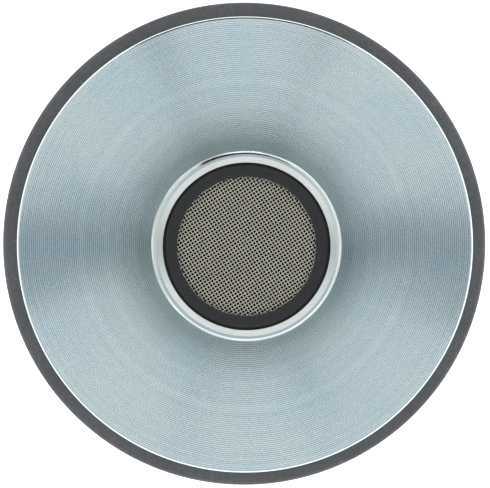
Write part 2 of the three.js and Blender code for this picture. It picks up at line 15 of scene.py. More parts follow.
import bpy
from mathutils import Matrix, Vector


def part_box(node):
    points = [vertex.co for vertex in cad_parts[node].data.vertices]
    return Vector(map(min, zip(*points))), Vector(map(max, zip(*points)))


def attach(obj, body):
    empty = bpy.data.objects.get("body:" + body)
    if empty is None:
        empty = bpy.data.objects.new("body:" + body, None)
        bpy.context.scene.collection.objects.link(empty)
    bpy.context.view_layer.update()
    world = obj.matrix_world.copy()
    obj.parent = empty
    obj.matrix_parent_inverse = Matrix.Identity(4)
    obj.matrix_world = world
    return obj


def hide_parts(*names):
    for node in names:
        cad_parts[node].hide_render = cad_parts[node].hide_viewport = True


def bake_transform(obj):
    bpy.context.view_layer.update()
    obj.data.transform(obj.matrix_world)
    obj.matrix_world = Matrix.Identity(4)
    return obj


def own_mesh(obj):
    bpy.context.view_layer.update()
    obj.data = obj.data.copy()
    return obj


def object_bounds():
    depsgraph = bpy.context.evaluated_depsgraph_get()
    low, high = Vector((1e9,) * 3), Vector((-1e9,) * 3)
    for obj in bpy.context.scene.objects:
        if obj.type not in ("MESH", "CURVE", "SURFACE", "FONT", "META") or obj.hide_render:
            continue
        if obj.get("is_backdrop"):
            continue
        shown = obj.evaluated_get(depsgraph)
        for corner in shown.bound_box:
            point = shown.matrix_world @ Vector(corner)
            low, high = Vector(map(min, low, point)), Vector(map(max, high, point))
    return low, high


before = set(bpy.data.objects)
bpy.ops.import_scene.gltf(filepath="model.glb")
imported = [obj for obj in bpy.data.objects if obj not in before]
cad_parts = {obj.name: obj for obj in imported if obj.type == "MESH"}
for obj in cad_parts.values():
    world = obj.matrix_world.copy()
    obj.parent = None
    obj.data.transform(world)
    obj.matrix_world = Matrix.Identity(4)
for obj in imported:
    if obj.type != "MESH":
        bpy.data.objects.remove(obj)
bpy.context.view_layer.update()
scene = bpy.context.scene
print("nodes in the working model:", len(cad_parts))

# %% [markdown]
# ## Units and places
#
# Blender works in metres and a small machine is easier to think of in millimetres. `MM` turns one into
# the other. Places come from the working model: `span` gives a node's lowest and highest corner.

# %% Millimetres and places
MM = 0.001
QUARTER_TURN = math.pi / 2


def span(node):
    """The lowest and the highest corner of a node of the working model, in millimetres."""
    low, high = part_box(node)
    return low / MM, high / MM


magnet_low, magnet_high = span("magnet_ring")
plate_low, plate_high = span("throat_plate")
pole_low, pole_high = span("pole_piece")
_, cover_high = span("rear_cover")
print(f"overall height {pole_high.z:.1f} mm, magnet {2 * magnet_high.x:.1f} mm across")

# %% [markdown]
# ## Camera
#
# The driver stands on its back and is seen from above its throat through a long lens, from a little to
# the left of the axis and a little above it. A long lens keeps the near snout and the far magnet almost
# the same scale, which is what a product picture wants.

# %% Camera
VIEW_DISTANCE = 1170  # from the magnet's face
VIEW_WIDTH = 91.3  # what the view takes in from left to right at the magnet's face
LEAN_X = math.radians(-1.17)
LEAN_Y = math.radians(1.3)

target = Vector((0.1, 0, magnet_high.z)) * MM
camera_data = bpy.data.cameras.new("camera")
camera_data.lens = camera_data.sensor_width * VIEW_DISTANCE / VIEW_WIDTH
camera_data.clip_start = 0.01
camera = bpy.data.objects.new("camera", camera_data)
scene.collection.objects.link(camera)
camera.location = target + Vector((math.tan(LEAN_X), math.tan(LEAN_Y), 1)) * VIEW_DISTANCE * MM
camera.rotation_euler = (-LEAN_Y, LEAN_X, 0)
scene.camera = camera
print(f"lens {camera_data.lens:.0f} mm")

# %% [markdown]
# ## Colours and nodes
#
# Two small helpers serve every material and light. Colours are written the way a designer writes them,
# as sRGB hex, and turned to the linear values that Blender works in. `add_node` adds a node, sets its
# options, fills its inputs with plain values or with links from other nodes, and colours a ramp's stops.


# %% Helpers for colours and nodes
def hex_color(code):
    """An sRGB colour such as "a9bcc2", as linear red, green and blue with full alpha."""
    channels = [int(code[i : i + 2], 16) / 255 for i in (0, 2, 4)]
    linear = [c / 12.92 if c <= 0.04045 else ((c + 0.055) / 1.055) ** 2.4 for c in channels]
    return (*linear, 1.0)


def add_node(tree, kind, settings=None, inputs=None, stops=()):
    """Adds a node. Inputs take plain values or sockets, and a ramp's stops a position and a colour."""
    node = tree.nodes.new(kind)
    for name, value in (settings or {}).items():
        setattr(node, name, value)
    for name, value in (inputs or {}).items():
        if isinstance(value, bpy.types.NodeSocket):
            tree.links.new(value, node.inputs[name])
        else:
            node.inputs[name].default_value = value
    for i, (position, code) in enumerate(stops):
        node.color_ramp.elements[i].position = position
        node.color_ramp.elements[i].color = hex_color(code)
    return node


def start_material(name, **shader_values):
    """A new material, its tree, its shader, and a socket with the place on the piece in mm."""
    material = bpy.data.materials.new(name)
    material.use_nodes = True
    tree = material.node_tree
    shader = tree.nodes["Principled BSDF"]
    for socket, value in shader_values.items():
        shader.inputs[socket.replace("_", " ")].default_value = value
    place = add_node(tree, "ShaderNodeTexCoord").outputs["Object"]
    in_mm = add_node(
        tree, "ShaderNodeMapping", inputs={"Vector": place, "Scale": (1 / MM, 1 / MM, 1 / MM)}
    )
    return material, tree, shader, in_mm.outputs["Vector"]


# %% [markdown]
# ## Studio
#
# Bare metal shows the room more than itself, so the room matters. The driver stands on a white light
# table under a pale dome. Two halves of a pale grey umbrella hang above it with a gap at each side. Each
# point of a face-turned plate mirrors the room along its own radius, so each gap in the umbrella shows
# on the plate as a dark spoke. Low panels left and right light the rounded edges, and a low dark card
# close behind the driver gives the snout's chamfer something dark to mirror.

# %% Pale dome
scene.view_settings.view_transform = "Standard"
DOME_LEVEL = 0.64

world = bpy.data.worlds.new("studio")
world.use_nodes = True
scene.world = world
tree = world.node_tree
tree.nodes.clear()
camera_ray = add_node(tree, "ShaderNodeLightPath")
lit_dome = add_node(
    tree, "ShaderNodeBackground", inputs={"Color": hex_color("e6f3ff"), "Strength": DOME_LEVEL}
)
seen_dome = add_node(tree, "ShaderNodeBackground", inputs={"Color": hex_color("ffffff")})
dome_choice = add_node(
    tree,
    "ShaderNodeMixShader",
    inputs={0: camera_ray.outputs["Is Camera Ray"], 1: lit_dome.outputs[0], 2: seen_dome.outputs[0]},
)
add_node(tree, "ShaderNodeOutputWorld", inputs={"Surface": dome_choice.outputs[0]})


# %% Helpers for selecting and placing
def select_only(*pieces):
    """Selects these pieces and nothing else, and makes the first one active."""
    bpy.ops.object.select_all(action="DESELECT")
    for piece in pieces:
        piece.select_set(True)
    bpy.context.view_layer.objects.active = pieces[0]


def put(piece, place, turn=(0, 0, 0)):
    """Turns a piece, in radians, moves it, in millimetres, and keeps both in its mesh."""
    select_only(piece)
    piece.rotation_euler = turn
    piece.location = Vector(place) * MM
    bpy.ops.object.transform_apply(location=True, rotation=True, scale=True)
    return piece


def added(name):
    """Names the object that was just added and leaves only it selected, with its size in its mesh."""
    piece = bpy.context.object
    piece.name = name
    piece.data.name = name
    bpy.ops.object.transform_apply(location=True, rotation=True, scale=True)
    return piece


def studio_piece(piece, color, glow=0.0):
    """A flat white, black or glowing surface of the studio, which isn't part of the driver."""
    material, tree, shader, _ = start_material(piece.name, Roughness=0.9, Base_Color=hex_color(color))
    shader.inputs["Emission Color"].default_value = hex_color("ffffff")
    shader.inputs["Emission Strength"].default_value = glow
    piece.data.materials.append(material)
    piece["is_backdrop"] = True
    return piece


# %% Light table
bpy.ops.object.select_all(action="DESELECT")
bpy.ops.mesh.primitive_plane_add(size=8)
studio_piece(added("light_table"), "f4f4f4", glow=0.85)

# %% Umbrella
UMBRELLA_HEIGHT = 1.0  # in metres, as are the next three
UMBRELLA_RADIUS = 1.1
UMBRELLA_DROP = 0.12
LENS_HOLE = 0.1
UMBRELLA_LEVEL = 0.46
SECTOR = 2  # degrees that one face takes in
FAR_HALF = (7, 173)  # degrees round the axis, from the right
NEAR_HALF = (200, 336)
SLITS = [(63, 69), (108, 117)]  # narrow gaps in the far half's cloth

bpy.ops.object.select_all(action="DESELECT")
bpy.ops.mesh.primitive_circle_add(
    vertices=360 // SECTOR, radius=LENS_HOLE, location=(0, 0, UMBRELLA_HEIGHT)
)
umbrella = added("umbrella")
bpy.ops.object.mode_set(mode="EDIT")
bpy.ops.mesh.select_all(action="SELECT")
bpy.ops.mesh.extrude_region_move(TRANSFORM_OT_translate={"value": (0, 0, -UMBRELLA_DROP)})
grow = UMBRELLA_RADIUS / LENS_HOLE
bpy.ops.transform.resize(value=(grow, grow, 1), center_override=(0, 0, 0))
bpy.ops.mesh.select_mode(type="FACE")
bpy.ops.mesh.select_all(action="DESELECT")
bpy.ops.object.mode_set(mode="OBJECT")
for face in umbrella.data.polygons:
    angle = math.degrees(math.atan2(face.center.y, face.center.x)) % 360
    covered = FAR_HALF[0] < angle < FAR_HALF[1] or NEAR_HALF[0] < angle < NEAR_HALF[1]
    face.select = not covered or any(low < angle < high for low, high in SLITS)
bpy.ops.object.mode_set(mode="EDIT")
bpy.ops.mesh.delete(type="FACE")
bpy.ops.object.mode_set(mode="OBJECT")
studio_piece(umbrella, "c4c4c4", glow=UMBRELLA_LEVEL)
umbrella.visible_camera = False

# %% Dark camera body
# The camera looks down through the umbrella's hole, and a flat face mirrors its dark front.
bpy.ops.object.select_all(action="DESELECT")
bpy.ops.mesh.primitive_circle_add(
    vertices=48, radius=LENS_HOLE, fill_type="NGON", location=(0, 0, UMBRELLA_HEIGHT)
)
camera_front = studio_piece(added("camera_front"), "0a0a0a")
camera_front.visible_camera = False


# %% Low panels and the dark card
def standing_card(name, azimuth, distance, width, height, color, glow=0.0):
    """An upright card that faces the driver, with its azimuth in degrees and its sizes in metres."""
    direction = math.radians(azimuth)
    bpy.ops.object.select_all(action="DESELECT")
    bpy.ops.mesh.primitive_plane_add(
        size=1,
        location=(distance * math.cos(direction), distance * math.sin(direction), height / 2),
        rotation=(QUARTER_TURN, 0, direction + QUARTER_TURN),
    )
    bpy.context.object.scale = (width, height, 1)
    card = studio_piece(added(name), color, glow)
    card.visible_camera = False
    card.visible_shadow = False
    return card


for name, azimuth in [("right_panel", 15), ("left_panel", 165)]:
    standing_card(name, azimuth, distance=1.3, width=2.0, height=0.5, color="b4b4b4", glow=0.2)
# The dark card only shows in what mirrors it, and takes no light from the rest.
dark_card = standing_card("dark_card", 90, distance=0.45, width=0.5, height=0.14, color="101010")
dark_card.visible_diffuse = False

# %% [markdown]
# ## Turning a piece
#
# On a lathe a shape is an outline that turns about an axis. `turned` works the same way with a
# modeller's moves: it lays down a ring of points, then extrudes and scales that ring along the outline.
# A ring-shaped piece is closed with a bridge, and a piece that reaches the axis is closed by merging its
# last ring to one point. The Screw modifier could do this too, but extruding keeps every ring flat and
# every outline point readable.
#
# Real edges are never perfectly sharp. A small bevel on each gives light a place to catch.

# %% Turned pieces
SIDES = 192
AXIS_HOLE = 0.02  # the smallest ring, which is then merged to a point on the axis
SHARP = math.radians(30)  # an edge that turns by more than this is rounded
SMOOTH = math.radians(35)  # an edge that turns by less than this is shaded smooth


def pick(piece, wanted):
    """In edit mode, selects the points whose place in millimetres passes the test."""
    bpy.ops.object.mode_set(mode="EDIT")
    bpy.ops.mesh.select_mode(type="VERT")
    bpy.ops.mesh.select_all(action="DESELECT")
    bpy.ops.object.mode_set(mode="OBJECT")
    for point in piece.data.vertices:
        point.select = wanted(point.co / MM)
    bpy.ops.object.mode_set(mode="EDIT")


def face_outwards():
    """In edit mode, points every face outwards, and then leaves edit mode."""
    bpy.ops.mesh.select_all(action="SELECT")
    bpy.ops.mesh.normals_make_consistent(inside=False)
    bpy.ops.object.mode_set(mode="OBJECT")


def merge_doubles():
    """Merges the active piece's points that share a place."""
    bpy.ops.object.mode_set(mode="EDIT")
    bpy.ops.mesh.select_all(action="SELECT")
    bpy.ops.mesh.remove_doubles(threshold=0.001 * MM)
    bpy.ops.object.mode_set(mode="OBJECT")


def apply_modifiers(piece):
    """Makes each modifier's result the piece's own mesh."""
    select_only(piece)
    for modifier in list(piece.modifiers):
        bpy.ops.object.modifier_apply(modifier=modifier.name)


def break_edges(piece, width):
    """Rounds every sharp edge by a width in millimetres, and shades the rest smooth."""
    if width:
        rounding = piece.modifiers.new("rounding", "BEVEL")
        rounding.width = width * MM
        rounding.segments = 2
        rounding.limit_method = "ANGLE"
        rounding.angle_limit = SHARP
        apply_modifiers(piece)
    select_only(piece)
    bpy.ops.object.shade_smooth_by_angle(angle=SMOOTH)


def turned(name, outline, sides=SIDES, edge=0.12):
    """A closed piece, from an outline of (radius, height) points in mm turned about the Z axis."""
    rings = [(max(radius, AXIS_HOLE), height) for radius, height in outline]
    radius, height = rings[0]
    bpy.ops.object.select_all(action="DESELECT")
    bpy.ops.mesh.primitive_circle_add(vertices=sides, radius=radius * MM, location=(0, 0, height * MM))
    piece = added(name)
    bpy.ops.object.mode_set(mode="EDIT")
    bpy.ops.mesh.select_mode(type="VERT")
    bpy.ops.mesh.select_all(action="SELECT")
    for next_radius, next_height in rings[1:]:
        bpy.ops.mesh.extrude_region_move(
            TRANSFORM_OT_translate={"value": (0, 0, (next_height - height) * MM)}
        )
        ratio = next_radius / radius
        bpy.ops.transform.resize(value=(ratio, ratio, 1), center_override=(0, 0, 0))
        radius, height = next_radius, next_height
    if outline[-1][0] == 0:
        bpy.ops.mesh.merge(type="CENTER")
        first_height = outline[0][1]
        pick(piece, lambda p: p.xy.length < 2 * AXIS_HOLE and abs(p.z - first_height) < 0.001)
        bpy.ops.mesh.merge(type="CENTER")
    else:
        bpy.ops.mesh.select_all(action="DESELECT")
        bpy.ops.mesh.select_non_manifold()
        bpy.ops.mesh.bridge_edge_loops()
    face_outwards()
    break_edges(piece, edge)
    return piece


def turned_ring(name, inner, outer, low, high, edge, sides=SIDES):
    """A plain ring, from its two radii and its two heights."""
    return turned(name, [(inner, low), (outer, low), (outer, high), (inner, high)], sides, edge)


def finished(piece, material, body, slot, *nodes):
    """Gives a piece its material and its body, and hides the nodes it stands for. Slot isn't used."""
    piece.data.materials.clear()
    piece.data.materials.append(material)
    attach(piece, body)
    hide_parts(*nodes)
    print(f"{piece.name}: {len(piece.data.polygons)} faces")
    return piece


# %% [markdown]
# ## Face-turned, zinc-plated steel
#
# The plates are mild steel, faced on a lathe, then zinc plated and passivated blue-clear. The tool
# leaves a fine spiral that looks like rings, so a reflection smears across the rings. Two things make
# that look here. Anisotropy with its tangent along the radius gives the smear: the object coordinates
# point away from the axis, which is all the tangent needs. Fine rings give the tool marks, as a bump and
# as painted shade that darkens the colour in their valleys. The passivation adds a faint blue that
# drifts towards grey.

# %% Zinc-plated turned steel
WAVE_SCALE = 2 * math.pi / 20  # the scale that makes a wave texture repeat once a millimetre


def turned_zinc(name, pitch, ring_depth, ring_shade, tints, roughness, spread):
    """Zinc-plated turned steel: tool rings of a pitch and depth in mm, and a share of painted shade."""
    material, tree, shader, points = start_material(name, Metallic=1.0, Anisotropic=spread)
    place = add_node(tree, "ShaderNodeTexCoord")
    tree.links.new(place.outputs["Object"], shader.inputs["Tangent"])
    patches = add_node(
        tree, "ShaderNodeTexNoise", inputs={"Vector": points, "Scale": 1 / 14, "Detail": 3.0}
    )
    tint = add_node(
        tree,
        "ShaderNodeValToRGB",
        inputs={"Fac": patches.outputs["Fac"]},
        stops=[(0.38, tints[0]), (0.62, tints[1])],
    )
    wear = add_node(
        tree, "ShaderNodeTexNoise", inputs={"Vector": points, "Scale": 1 / 2, "Detail": 4.0}
    )
    gloss = add_node(
        tree,
        "ShaderNodeMapRange",
        inputs={"Value": wear.outputs["Fac"], "To Min": roughness - 0.03, "To Max": roughness + 0.03},
    )
    tree.links.new(gloss.outputs["Result"], shader.inputs["Roughness"])
    rings = add_node(
        tree,
        "ShaderNodeTexWave",
        {"wave_type": "RINGS", "rings_direction": "Z"},
        {"Vector": points, "Scale": WAVE_SCALE / pitch},
    )
    radius = add_node(tree, "ShaderNodeVectorMath", {"operation": "LENGTH"}, {0: points})
    uneven_feed_shade = add_node(
        tree,
        "ShaderNodeTexNoise",
        {"noise_dimensions": "1D"},
        {"W": radius.outputs["Value"], "Scale": 1 / 0.8, "Detail": 2.0},
    )
    # Painted shade follows the rings, and a slow noise along the radius makes it a little uneven.
    slight = add_node(
        tree,
        "ShaderNodeMapRange",
        inputs={"Value": uneven_feed_shade.outputs["Fac"], "To Min": 0.4, "To Max": 0.6},
    )
    painted_valley_shade = add_node(
        tree,
        "ShaderNodeMath",
        {"operation": "MULTIPLY_ADD"},
        {0: rings.outputs["Fac"], 1: 0.6, 2: slight.outputs["Result"]},
    )
    shade = add_node(
        tree,
        "ShaderNodeMapRange",
        inputs={
            "Value": painted_valley_shade.outputs["Value"],
            "From Min": 0.3,
            "From Max": 1.3,
            "To Min": 1 - ring_shade,
        },
    )
    ringed = add_node(
        tree,
        "ShaderNodeVectorMath",
        {"operation": "SCALE"},
        {0: tint.outputs["Color"], "Scale": shade.outputs["Result"]},
    )
    tree.links.new(ringed.outputs["Vector"], shader.inputs["Base Color"])
    tool_marks = add_node(
        tree, "ShaderNodeBump", inputs={"Height": rings.outputs["Fac"], "Distance": ring_depth * MM}
    )
    tree.links.new(tool_marks.outputs["Normal"], shader.inputs["Normal"])
    return material


# The real feed is about 0.27 mm on the plate. It is drawn coarser here so that it shows.
plate_zinc = turned_zinc(
    "zinc_plated_faced_steel",
    pitch=0.37,
    ring_depth=0.022,
    ring_shade=0.5,
    tints=("cbdde3", "d2e1e3"),
    roughness=0.26,
    spread=0.97,
)
snout_zinc = turned_zinc(
    "zinc_plated_turned_steel",
    pitch=0.3,
    ring_depth=0.004,
    ring_shade=0.15,
    tints=("e4ebe8", "e9ebe4"),
    roughness=0.3,
    spread=0.9,
)

# The chamfers are cut last, with a finer feed, so they mirror the room almost like a polished face.
edge_zinc, tree, shader, points = start_material(
    "zinc_plated_bright_chamfer", Metallic=1.0, Base_Color=hex_color("e0e6e3")
)
smears = add_node(
    tree, "ShaderNodeTexNoise", inputs={"Vector": points, "Scale": 1 / 1.5, "Detail": 4.0}
)
edge_gloss = add_node(
    tree, "ShaderNodeMapRange", inputs={"Value": smears.outputs["Fac"], "To Min": 0.08, "To Max": 0.2}
)
tree.links.new(edge_gloss.outputs["Result"], shader.inputs["Roughness"])
STEEP, LEVEL = 0.4, 0.95  # the Z part of a chamfer's normal lies between these


def bright_chamfers(piece, lowest):
    """Gives the bright finish to the sloping front faces above a height in millimetres."""
    piece.data.materials.append(edge_zinc)
    for face in piece.data.polygons:
        if STEEP < face.normal.z < LEVEL and face.center.z > lowest * MM:
            face.material_index = 1


# %% [markdown]
# ## Two-tone materials
#
# Most other finishes here have the same build: two close colours mixed by a noise whose grain has a real
# size, a roughness, and the same grain as a shallow bump. `grained` makes those. What differs between,
# say, moulded nylon and nickel plate is in the numbers, so each call names its material and says what
# the numbers stand for.


# %% Grained materials
def grained(name, colors, grain, roughness, depth, metallic=0.0, ior=1.5, contrast=0.2):
    """Two colours in a noise with a grain size in mm, which also stands out by a depth in mm."""
    material, tree, shader, points = start_material(name, Metallic=metallic, IOR=ior)
    noise = add_node(
        tree,
        "ShaderNodeTexNoise",
        inputs={"Vector": points, "Scale": 1 / grain, "Detail": 6.0, "Roughness": 0.6},
    )
    steps = add_node(
        tree,
        "ShaderNodeValToRGB",
        inputs={"Fac": noise.outputs["Fac"]},
        stops=[(0.5 - contrast, colors[0]), (0.5 + contrast, colors[1])],
    )
    tree.links.new(steps.outputs["Color"], shader.inputs["Base Color"])
    gloss = add_node(
        tree,
        "ShaderNodeMapRange",
        inputs={"Value": noise.outputs["Fac"], "To Min": roughness - 0.06, "To Max": roughness + 0.06},
    )
    tree.links.new(gloss.outputs["Result"], shader.inputs["Roughness"])
    relief = add_node(
        tree, "ShaderNodeBump", inputs={"Height": noise.outputs["Fac"], "Distance": depth * MM}
    )
    tree.links.new(relief.outputs["Normal"], shader.inputs["Normal"])
    return material


# Glass-filled nylon, moulded against a lightly eroded tool: near black with a soft, broken gloss.
nylon = grained("black_moulded_nylon", ("141415", "1c1b1c"), 0.35, 0.5, 0.01)
# The screen ring is the same nylon out of a polished mould: blacker and glossier.
ring_nylon = grained("grey_black_nylon", ("0e0d0e", "151415"), 0.5, 0.38, 0.008, ior=1.45)
# Phenolic moulding of the phase plug and diaphragm ring: dark grey and matt.
phenolic = grained("grey_phenolic", ("38393b", "444547"), 0.6, 0.55, 0.008, ior=1.6)
# Titanium foil, rolled and pressed: warm grey with a satin sheen.
titanium = grained("rolled_titanium_foil", ("8f8c88", "a09c97"), 1.5, 0.28, 0.002, metallic=1.0)
# Plating barely reaches into a deep bore, so the throat is bare, oiled steel. Its colour is near
# black, far darker than steel: painted shade deep in the throat, seen between the screen's wires.
bore_steel_painted_shade = grained("bare_steel_painted_bore_shade", ("2f2e2c", "3d3b38"), 0.8, 0.5, 0.002, metallic=1.0)
# Vulcanised fibre spacer: brick red paper board with visible fibres.
fibre = grained("vulcanised_fibre", ("6f3a2c", "86493a"), 0.4, 0.7, 0.01)
# Closed-cell foam gasket: charcoal with fine open pores.
foam = grained("charcoal_foam", ("1d1e20", "34353a"), 0.5, 0.9, 0.12, contrast=0.1)
# Wool felt: pale grey with a loose nap.
felt = grained("wool_felt", ("8d8a84", "b5b1a8"), 0.7, 0.95, 0.2, contrast=0.12)
# Black-oxide steel screws: blue-black, oiled, with worn highlights.
black_steel = grained("black_oxide_steel", ("1b1c1f", "2c2d31"), 0.5, 0.35, 0.003, metallic=1.0)
# Nickel plate over brass: bright, slightly warm.
nickel = grained("nickel_plate", ("b7b1a6", "c9c4ba"), 1.2, 0.18, 0.001, metallic=1.0)
# Drawn brass of the tabs, tags and nuts.
brass = grained("drawn_brass", ("a9853c", "c09a4c"), 1.0, 0.3, 0.002, metallic=1.0)
# Hard-drawn spring wire, lightly oiled.
spring_steel = grained("drawn_spring_steel", ("77787a", "8d8e90"), 0.5, 0.3, 0.002, metallic=1.0)
# Rolled copper foil of the lead-outs.
copper = grained("rolled_copper", ("a5603c", "bb7350"), 0.8, 0.3, 0.002, metallic=1.0)
# ABS of the terminal buttons: glossy, coloured right through, with a faint orange peel.
red_abs = grained("red_moulded_abs", ("8e1210", "9c1714"), 1.5, 0.28, 0.006, ior=1.54)
black_abs = grained("black_moulded_abs", ("0f0f10", "171718"), 1.5, 0.28, 0.006, ior=1.54)
# PVC wire covers, softer and duller than the buttons.
red_pvc = grained("red_wire_pvc", ("8f1a17", "9e211d"), 0.8, 0.45, 0.004, ior=1.54)
black_pvc = grained("black_wire_pvc", ("121213", "1b1b1c"), 0.8, 0.45, 0.004, ior=1.54)
# Polyimide film: clear amber, drawn solid here because the film is thinner than it looks.
polyimide = grained("amber_polyimide", ("8a4a12", "a15c1c"), 2.0, 0.22, 0.003, ior=1.7)

# %% [markdown]
# ## Sintered ferrite
#
# The magnet is strontium ferrite: oxide powder, pressed, fired and ground flat. It is a ceramic, dark
# grey with a soft gloss. Its grain shows as a fine mottle, grinding leaves faint scratches, and here and
# there a pore or a small chip shows lighter.

# %% Ferrite
ferrite, tree, shader, points = start_material("ground_sintered_ferrite", IOR=1.8)
grains = add_node(
    tree,
    "ShaderNodeTexNoise",
    inputs={"Vector": points, "Scale": 1 / 0.7, "Detail": 8.0, "Roughness": 0.7},
)
clouds = add_node(tree, "ShaderNodeTexNoise", inputs={"Vector": points, "Scale": 1 / 11, "Detail": 3.0})
grain_steps, cloud_steps = [
    add_node(tree, "ShaderNodeValToRGB", inputs={"Fac": noise.outputs["Fac"]}, stops=stops)
    for noise, stops in [
        (grains, [(0.34, "38383a"), (0.66, "545455")]),
        (clouds, [(0.35, "d8d8d8"), (0.65, "ffffff")]),
    ]
]
ferrite_color = add_node(
    tree,
    "ShaderNodeMix",
    {"data_type": "RGBA", "blend_type": "MULTIPLY"},
    {0: 1.0, 6: grain_steps.outputs["Color"], 7: cloud_steps.outputs["Color"]},
)
chips = add_node(tree, "ShaderNodeTexVoronoi", inputs={"Vector": points, "Scale": 1 / 5.5})
chip_spots = add_node(
    tree,
    "ShaderNodeMapRange",
    inputs={
        "Value": chips.outputs["Distance"],
        "From Min": 0.05,
        "From Max": 0.09,
        "To Min": 1.0,
        "To Max": 0.0,
    },
)
chipped_color = add_node(
    tree,
    "ShaderNodeMix",
    {"data_type": "RGBA"},
    {0: chip_spots.outputs["Result"], 6: ferrite_color.outputs[2], 7: hex_color("5a5a59")},
)
tree.links.new(chipped_color.outputs[2], shader.inputs["Base Color"])
shader.inputs["Roughness"].default_value = 0.5
scratch_lines = add_node(
    tree,
    "ShaderNodeMapping",
    inputs={"Vector": points, "Rotation": (0, 0, math.radians(35)), "Scale": (0.1, 3.0, 1.0)},
)
scratches = add_node(
    tree,
    "ShaderNodeTexNoise",
    inputs={"Vector": scratch_lines.outputs["Vector"], "Scale": 1.5, "Detail": 6.0},
)
relief = add_node(
    tree,
    "ShaderNodeMath",
    {"operation": "MULTIPLY_ADD"},
    {0: scratches.outputs["Fac"], 1: 0.7, 2: grains.outputs["Fac"]},
)
ground_face = add_node(
    tree,
    "ShaderNodeBump",
    inputs={"Height": relief.outputs["Value"], "Strength": 0.7, "Distance": 0.08 * MM},
)
tree.links.new(ground_face.outputs["Normal"], shader.inputs["Normal"])


# %% [markdown]
# ## Holes, slots and joins
#
# Drilled holes and screw slots are cut with Boolean modifiers: a cutter of the right size and place is
# made, taken away and removed. The same tool joins a boss to a moulding. Edges are broken afterwards, so
# that the new edges get their rounding too.


# %% Cutters and joins
def rod(radius, low, high, x=0, y=0, sides=48):
    """An upright round bar, for cutting a hole."""
    bpy.ops.object.select_all(action="DESELECT")
    bpy.ops.mesh.primitive_cylinder_add(
        vertices=sides,
        radius=radius * MM,
        depth=(high - low) * MM,
        location=(x * MM, y * MM, (low + high) / 2 * MM),
    )
    return added("rod")


def block(low, high):
    """A square block between two corners, for cutting a slot or adding a boss."""
    size = Vector(high) - Vector(low)
    bpy.ops.object.select_all(action="DESELECT")
    bpy.ops.mesh.primitive_cube_add(size=1, location=(Vector(low) + size / 2) * MM)
    bpy.context.object.scale = size * MM
    return added("block")


def combine(piece, other, operation):
    """DIFFERENCE cuts the other piece away and UNION joins it on. The other piece is used up."""
    step = piece.modifiers.new("combine", "BOOLEAN")
    step.operation = operation
    step.object = other
    step.solver = "EXACT"
    apply_modifiers(piece)
    bpy.data.objects.remove(other)
    return piece


def on_circle(radius, count=4, first=0):
    """Places evenly spread round a circle, each as x, y and its angle."""
    angles = [math.radians(first + 360 * i / count) for i in range(count)]
    return [(radius * math.cos(a), radius * math.sin(a), a) for a in angles]


def drill(piece, spots, radius, low, high):
    """Cuts a round hole at each place, from one height to another."""
    for x, y, _ in spots:
        combine(piece, rod(radius, low, high, x, y), "DIFFERENCE")


COVER_SCREWS = on_circle(38, first=45)
RING_SCREWS = on_circle(26.9)
M3_TAPPED, M3_CLEAR = 1.55, 1.7  # hole radii
M4_TAPPED, M4_CLEAR = 2.05, 2.2

# %% [markdown]
# ## Magnet and plates
#
# The ring magnet is the widest piece. A steel plate is glued to each of its faces: the throat plate in
# front, which carries the snout, and the top plate behind, whose hole makes the gap for the voice coil
# and whose tapped holes take every screw.

# %% Magnet ring
MAGNET_BORE = 22.45
MAGNET_EDGE = 0.6
RIM_SIDES = 288  # the widest rings take more sides, so that their outline stays round


def chamfered_ring(name, hole, radius, low, high, rear_chamfer, front_chamfer, edge=0.1):
    """A thick ring with a chamfer of its own on each outer rim."""
    outline = [
        (hole, low),
        (radius - rear_chamfer, low),
        (radius, low + rear_chamfer),
        (radius, high - front_chamfer),
        (radius - front_chamfer, high),
        (hole, high),
    ]
    return turned(name, outline, RIM_SIDES, edge)


heights = (magnet_low.z, magnet_high.z)
magnet = chamfered_ring(
    "ferrite_magnet", MAGNET_BORE, magnet_high.x, *heights, MAGNET_EDGE, MAGNET_EDGE, edge=0.15
)
finished(magnet, ferrite, "motor", "ferrite", "magnet_ring")

# %% Steel plates
THROAT_HOLE = 17.4925
GAP_HOLE = 18.15
PLATE_EDGE = 0.45
top_low, top_high = span("top_plate")

heights = (plate_low.z, plate_high.z)
throat_plate = chamfered_ring(
    "turned_throat_plate", THROAT_HOLE, plate_high.x, *heights, PLATE_EDGE / 2, PLATE_EDGE
)
finished(throat_plate, plate_zinc, "motor", "zinc_plated_steel", "throat_plate")
bright_chamfers(throat_plate, plate_high.z - PLATE_EDGE)

heights = (top_low.z, top_high.z)
top_plate = chamfered_ring(
    "turned_top_plate", GAP_HOLE, plate_high.x, *heights, PLATE_EDGE, PLATE_EDGE / 2
)
drill(top_plate, COVER_SCREWS, M4_TAPPED, top_low.z - 1, top_high.z + 1)
drill(top_plate, RING_SCREWS, M3_TAPPED, top_low.z - 1, top_low.z + 5)
break_edges(top_plate, 0)
finished(top_plate, plate_zinc, "motor", "zinc_plated_steel", "top_plate")

# %% [markdown]
# ## The pole piece and its threaded snout
#
# One turned piece makes the magnet's pole, the journal in the throat plate and the snout. The snout has
# the standard 1 3/8 inch thread with 18 turns to the inch. A thread is a radius that depends on height
# and angle together, so the snout's wall is turned with many fine rings, and each of their points is
# then moved in or out to the thread's own radius at its height and angle. The Screw modifier can sweep a
# thread too, but its ends need trimming and closing, which the point-by-point way avoids.

